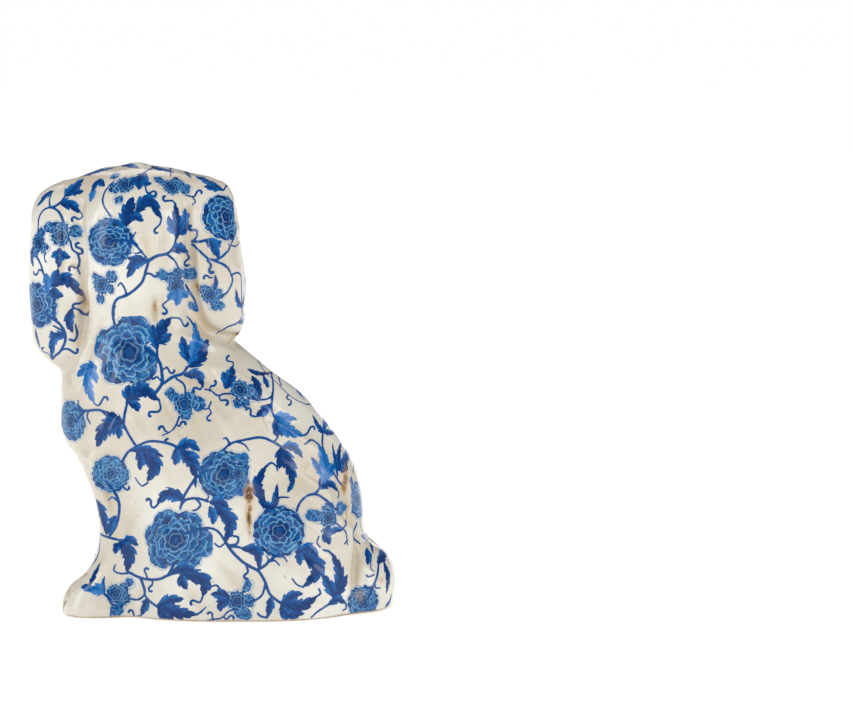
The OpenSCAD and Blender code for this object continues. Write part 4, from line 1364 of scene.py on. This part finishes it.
def glaze_material():
    """Ivory glaze over a cobalt transfer print, with the bare foot below."""
    n = Nodes("printed_glaze")
    ragged = n.times(n.minus(n.noise(900, 2), .5), .5)
    leaf_cover, leaf = leaf_paint(n, ragged)
    outline, halo, flower_cover, flower = flower_paint(n, ragged)
    ivory = ivory_ground(n, n.math("MINIMUM", n.field("ink"), outline))
    colour = n.mix(halo, ivory, (.16, .27, .38, 1))
    colour = n.mix(flower_cover, colour, flower)
    colour = n.mix(leaf_cover, colour, leaf)
    rust = n.times(n.field("rust"), n.ramp(n.noise(110, 4, .7), .3, .62, .25, 1.25))
    stain = n.colours(rust, (.15, (.50, .29, .10)), (.75, (.075, .028, .008)))
    colour = n.mix(n.ramp(rust, .04, .6, 0, .95), colour, stain)
    colour = n.mix(n.ramp(n.field("paint"), -.15, .2, 1, 0), colour, (.012, .011, .012, 1))

    height = n.new("ShaderNodeSeparateXYZ")
    n.feed(height.inputs[0], n.spot())
    foot_line = n.plus(height.outputs["Z"], n.times(n.noise(90), .0016))
    bare = n.larger(n.ramp(foot_line, .0018, .0026, 1, 0), n.field("bare"))
    colour = n.mix(bare, colour, clay(n))
    n.feed(n.shader.inputs["Base Color"], colour)
    gloss = n.ramp(n.noise(40, 4), .3, .7, .10, .20)
    n.feed(n.shader.inputs["Roughness"], n.larger(gloss, n.times(bare, .75)))
    n.shader.inputs["IOR"].default_value = 1.38
    ripple = n.plus(n.noise(70, 2), n.times(n.noise(500, 2), .12))
    n.bump(ripple, .0008, .3)
    return n.material


def enamel_material():
    """Hand-laid cobalt enamel on the sprigged pieces, thinner on their edges."""
    n = Nodes("cobalt_enamel")
    pool = n.plus(n.noise(130, 4), n.times(n.noise(600, 2), .2))
    blue = n.colours(pool, (.35, (.004, .03, .16)), (.6, (.01, .09, .34)), (.8, (.06, .20, .50)))
    edge = n.ramp(n.new("ShaderNodeNewGeometry").outputs["Pointiness"], .52, .62)
    n.feed(n.shader.inputs["Base Color"], n.mix(n.times(edge, .7), blue, (.42, .52, .66, 1)))
    n.feed(n.shader.inputs["Roughness"], n.ramp(n.noise(60), .3, .7, .08, .2))
    n.bump(n.noise(300, 3), .0004, .3)
    return n.material


# ---------------------------------------------------------------- putting the dog together

def wanted_in_front(spot):
    """Keeps the pattern off the face, and off the edges that the back's pattern already covers."""
    on_face = abs(spot[0] - HEAD_X) < 30 and 186 < spot[2] < 268
    return not on_face and gradient(whole, spot[None])[0][1] < -0.35


def sculpt():
    """The whole figure: its fine and plain skins, normals and printed fields."""
    coarse, quads = first_mesh()
    held = hold_seams(coarse)
    coarse = relax(settle(surface, coarse, held, 2), quads, held, 6)
    fine, fine_quads, fine_held = split_quads(coarse, quads, held)
    fine = settle(surface, fine, fine_held, 2)
    edges, quad_edges = edges_of(quads)
    sheet = Print(fine, vertex_normals(fine, fine_quads))
    lift = relief(sheet)
    print_side(sheet, "back", BLADES, STEMS, FLOWERS, BUDS, lambda spot: True)
    print_side(sheet, "front", BLADES, STEMS, FLOWERS, BUDS, wanted_in_front)
    print_side(sheet, "top", TOP_BLADES, TOP_STEMS, [], [], sheet.is_clear)
    print_side(sheet, "chest", CHEST_BLADES, CHEST_STEMS, CHEST_FLOWERS, [], sheet.is_clear)
    print_side(sheet, "rump", RUMP_BLADES, RUMP_STEMS, RUMP_FLOWERS, [], sheet.is_clear)
    for row, spot in zip(STAINS, cast([row[:2] for row in STAINS], "back")):
        sheet.stain(spot, *row[2:])
    paint_face(sheet)
    moved = np.clip(fine + sheet.n * lift[:, None], np.array(cad_low) / MM, np.array(cad_high) / MM)
    # Creases (little room 4 mm out from the surface) and fold grooves are marked for a darker, warmer ivory:
    # partly pooled glaze, partly painted shade.
    tucked = whole(fine + 4 * sheet.n)
    hollow = np.clip((3.7 - tucked) / 2.2, 0, 1) + np.clip(-lift / 1.5, 0, 1)
    coarse_normals = vertex_normals(coarse, quads)
    fields = {name: (getattr(sheet, name), blank) for name, blank in BLANK.items()}
    fields["hollow"] = (np.clip(hollow, 0, 1), 0.0)
    fields["bare"] = (np.zeros(len(fine)), 1.0)
    return {
        "fine": moved, "fine_quads": fine_quads, "normals": vertex_normals(moved, fine_quads),
        "quads": quads, "middle": len(coarse) + quad_edges, "coarse_normals": coarse_normals,
        "inner": inner_skin(coarse, coarse_normals, edges), "names": piece_of_faces(coarse, quads),
        "fields": fields,                # by name: (values on the outer skin, value on the inner skin)
    }


def build_dog():
    shape = sculpt()
    glaze, enamel = glaze_material(), enamel_material()
    for node in ("body_back_shell", "body_front_shell", "head_back_shell", "face_shell", "left_ear",
                 "right_ear", "left_foreleg", "right_foreleg", "right_hind_paw", "tail", "base_plate"):
        faces = largest_part(shape["quads"], shape["names"] == node)
        name = node + "_ceramic"
        slot = "biscuit" if node == "base_plate" else "glaze"
        place(piece_mesh(name, faces, shape), name, node, slot, glaze)
    place(collar_mesh(), "collar_enamel", "collar", "blue_enamel", enamel)
    place(padlock_mesh(), "padlock_enamel", "padlock", "blue_enamel", enamel)


# ---------------------------------------------------------------- stage

def area_light(name, place, aim, size):
    data = bpy.data.lights.new(name, "AREA")
    data.shape, data.size, data.size_y = "RECTANGLE", size[0], size[1]
    data.energy = LIGHT_POWER
    light = bpy.data.objects.new(name, data)
    light.location = place
    light.rotation_euler = (Vector(aim) - Vector(place)).to_track_quat("-Z", "Y").to_euler()
    bpy.context.collection.objects.link(light)


def white_world():
    """Soft white light from all round, dimmer in reflections and pure white to the eye."""
    world = bpy.data.worlds.new("studio")
    world.use_nodes = True
    tree = world.node_tree
    path = tree.nodes.new("ShaderNodeLightPath")
    shade = tree.nodes["Background"].outputs[0]
    tree.nodes["Background"].inputs["Color"].default_value = (1, 1, 1, 1)
    tree.nodes["Background"].inputs["Strength"].default_value = WORLD_LIGHT
    for ray, strength in (("Is Glossy Ray", WORLD_MIRRORED), ("Is Camera Ray", 1.0)):
        other = tree.nodes.new("ShaderNodeBackground")
        other.inputs["Color"].default_value = (1, 1, 1, 1)
        other.inputs["Strength"].default_value = strength
        mix = tree.nodes.new("ShaderNodeMixShader")
        tree.links.new(path.outputs[ray], mix.inputs[0])
        tree.links.new(shade, mix.inputs[1])
        tree.links.new(other.outputs[0], mix.inputs[2])
        shade = mix.outputs[0]
    tree.links.new(shade, tree.nodes["World Output"].inputs["Surface"])
    bpy.context.scene.world = world


def stage():
    """A pale floor, a white world, and three soft lights."""
    bm = bmesh.new()
    bmesh.ops.create_grid(bm, x_segments=1, y_segments=1, size=FLOOR_REACH)
    floor_mesh = bpy.data.meshes.new("floor")
    bm.to_mesh(floor_mesh)
    bm.free()
    floor = bpy.data.objects.new("floor", floor_mesh)
    bpy.context.collection.objects.link(floor)
    n = Nodes("pale_floor")
    n.shader.inputs["Base Color"].default_value = (FLOOR_WHITE, FLOOR_WHITE, FLOOR_WHITE, 1)
    n.shader.inputs["Roughness"].default_value = 0.7
    n.shader.inputs["Specular IOR Level"].default_value = 0.0
    n.shader.inputs["Emission Color"].default_value = (1, 1, 1, 1)
    n.shader.inputs["Emission Strength"].default_value = FLOOR_GLOW
    floor_mesh.materials.append(n.material)
    white_world()
    middle = (0, 0, 0.15)
    area_light("left", (1.25, 0.95, 0.58), middle, (0.6, 1.1))
    area_light("right", (-1.25, 0.95, 0.58), middle, (0.6, 1.1))
    area_light("high", (0.3, -1.1, 1.9), middle, (1.0, 1.0))


def camera():
    """A long lens behind the dog, aimed so that the dog stands at the left of the picture."""
    data = bpy.data.cameras.new("camera")
    data.lens = data.sensor_width * CAMERA_DISTANCE / math.cos(CAMERA_PITCH) / VIEW_WIDTH
    cam = bpy.data.objects.new("camera", data)
    cam.location = CAMERA_AIM + Vector((0, CAMERA_DISTANCE, CAMERA_DISTANCE * math.tan(CAMERA_PITCH)))
    cam.rotation_euler = (CAMERA_AIM - cam.location).to_track_quat("-Z", "Y").to_euler()
    bpy.context.collection.objects.link(cam)
    bpy.context.scene.camera = cam


build_dog()
stage()
camera()
bpy.context.scene.view_settings.view_transform = "Standard"
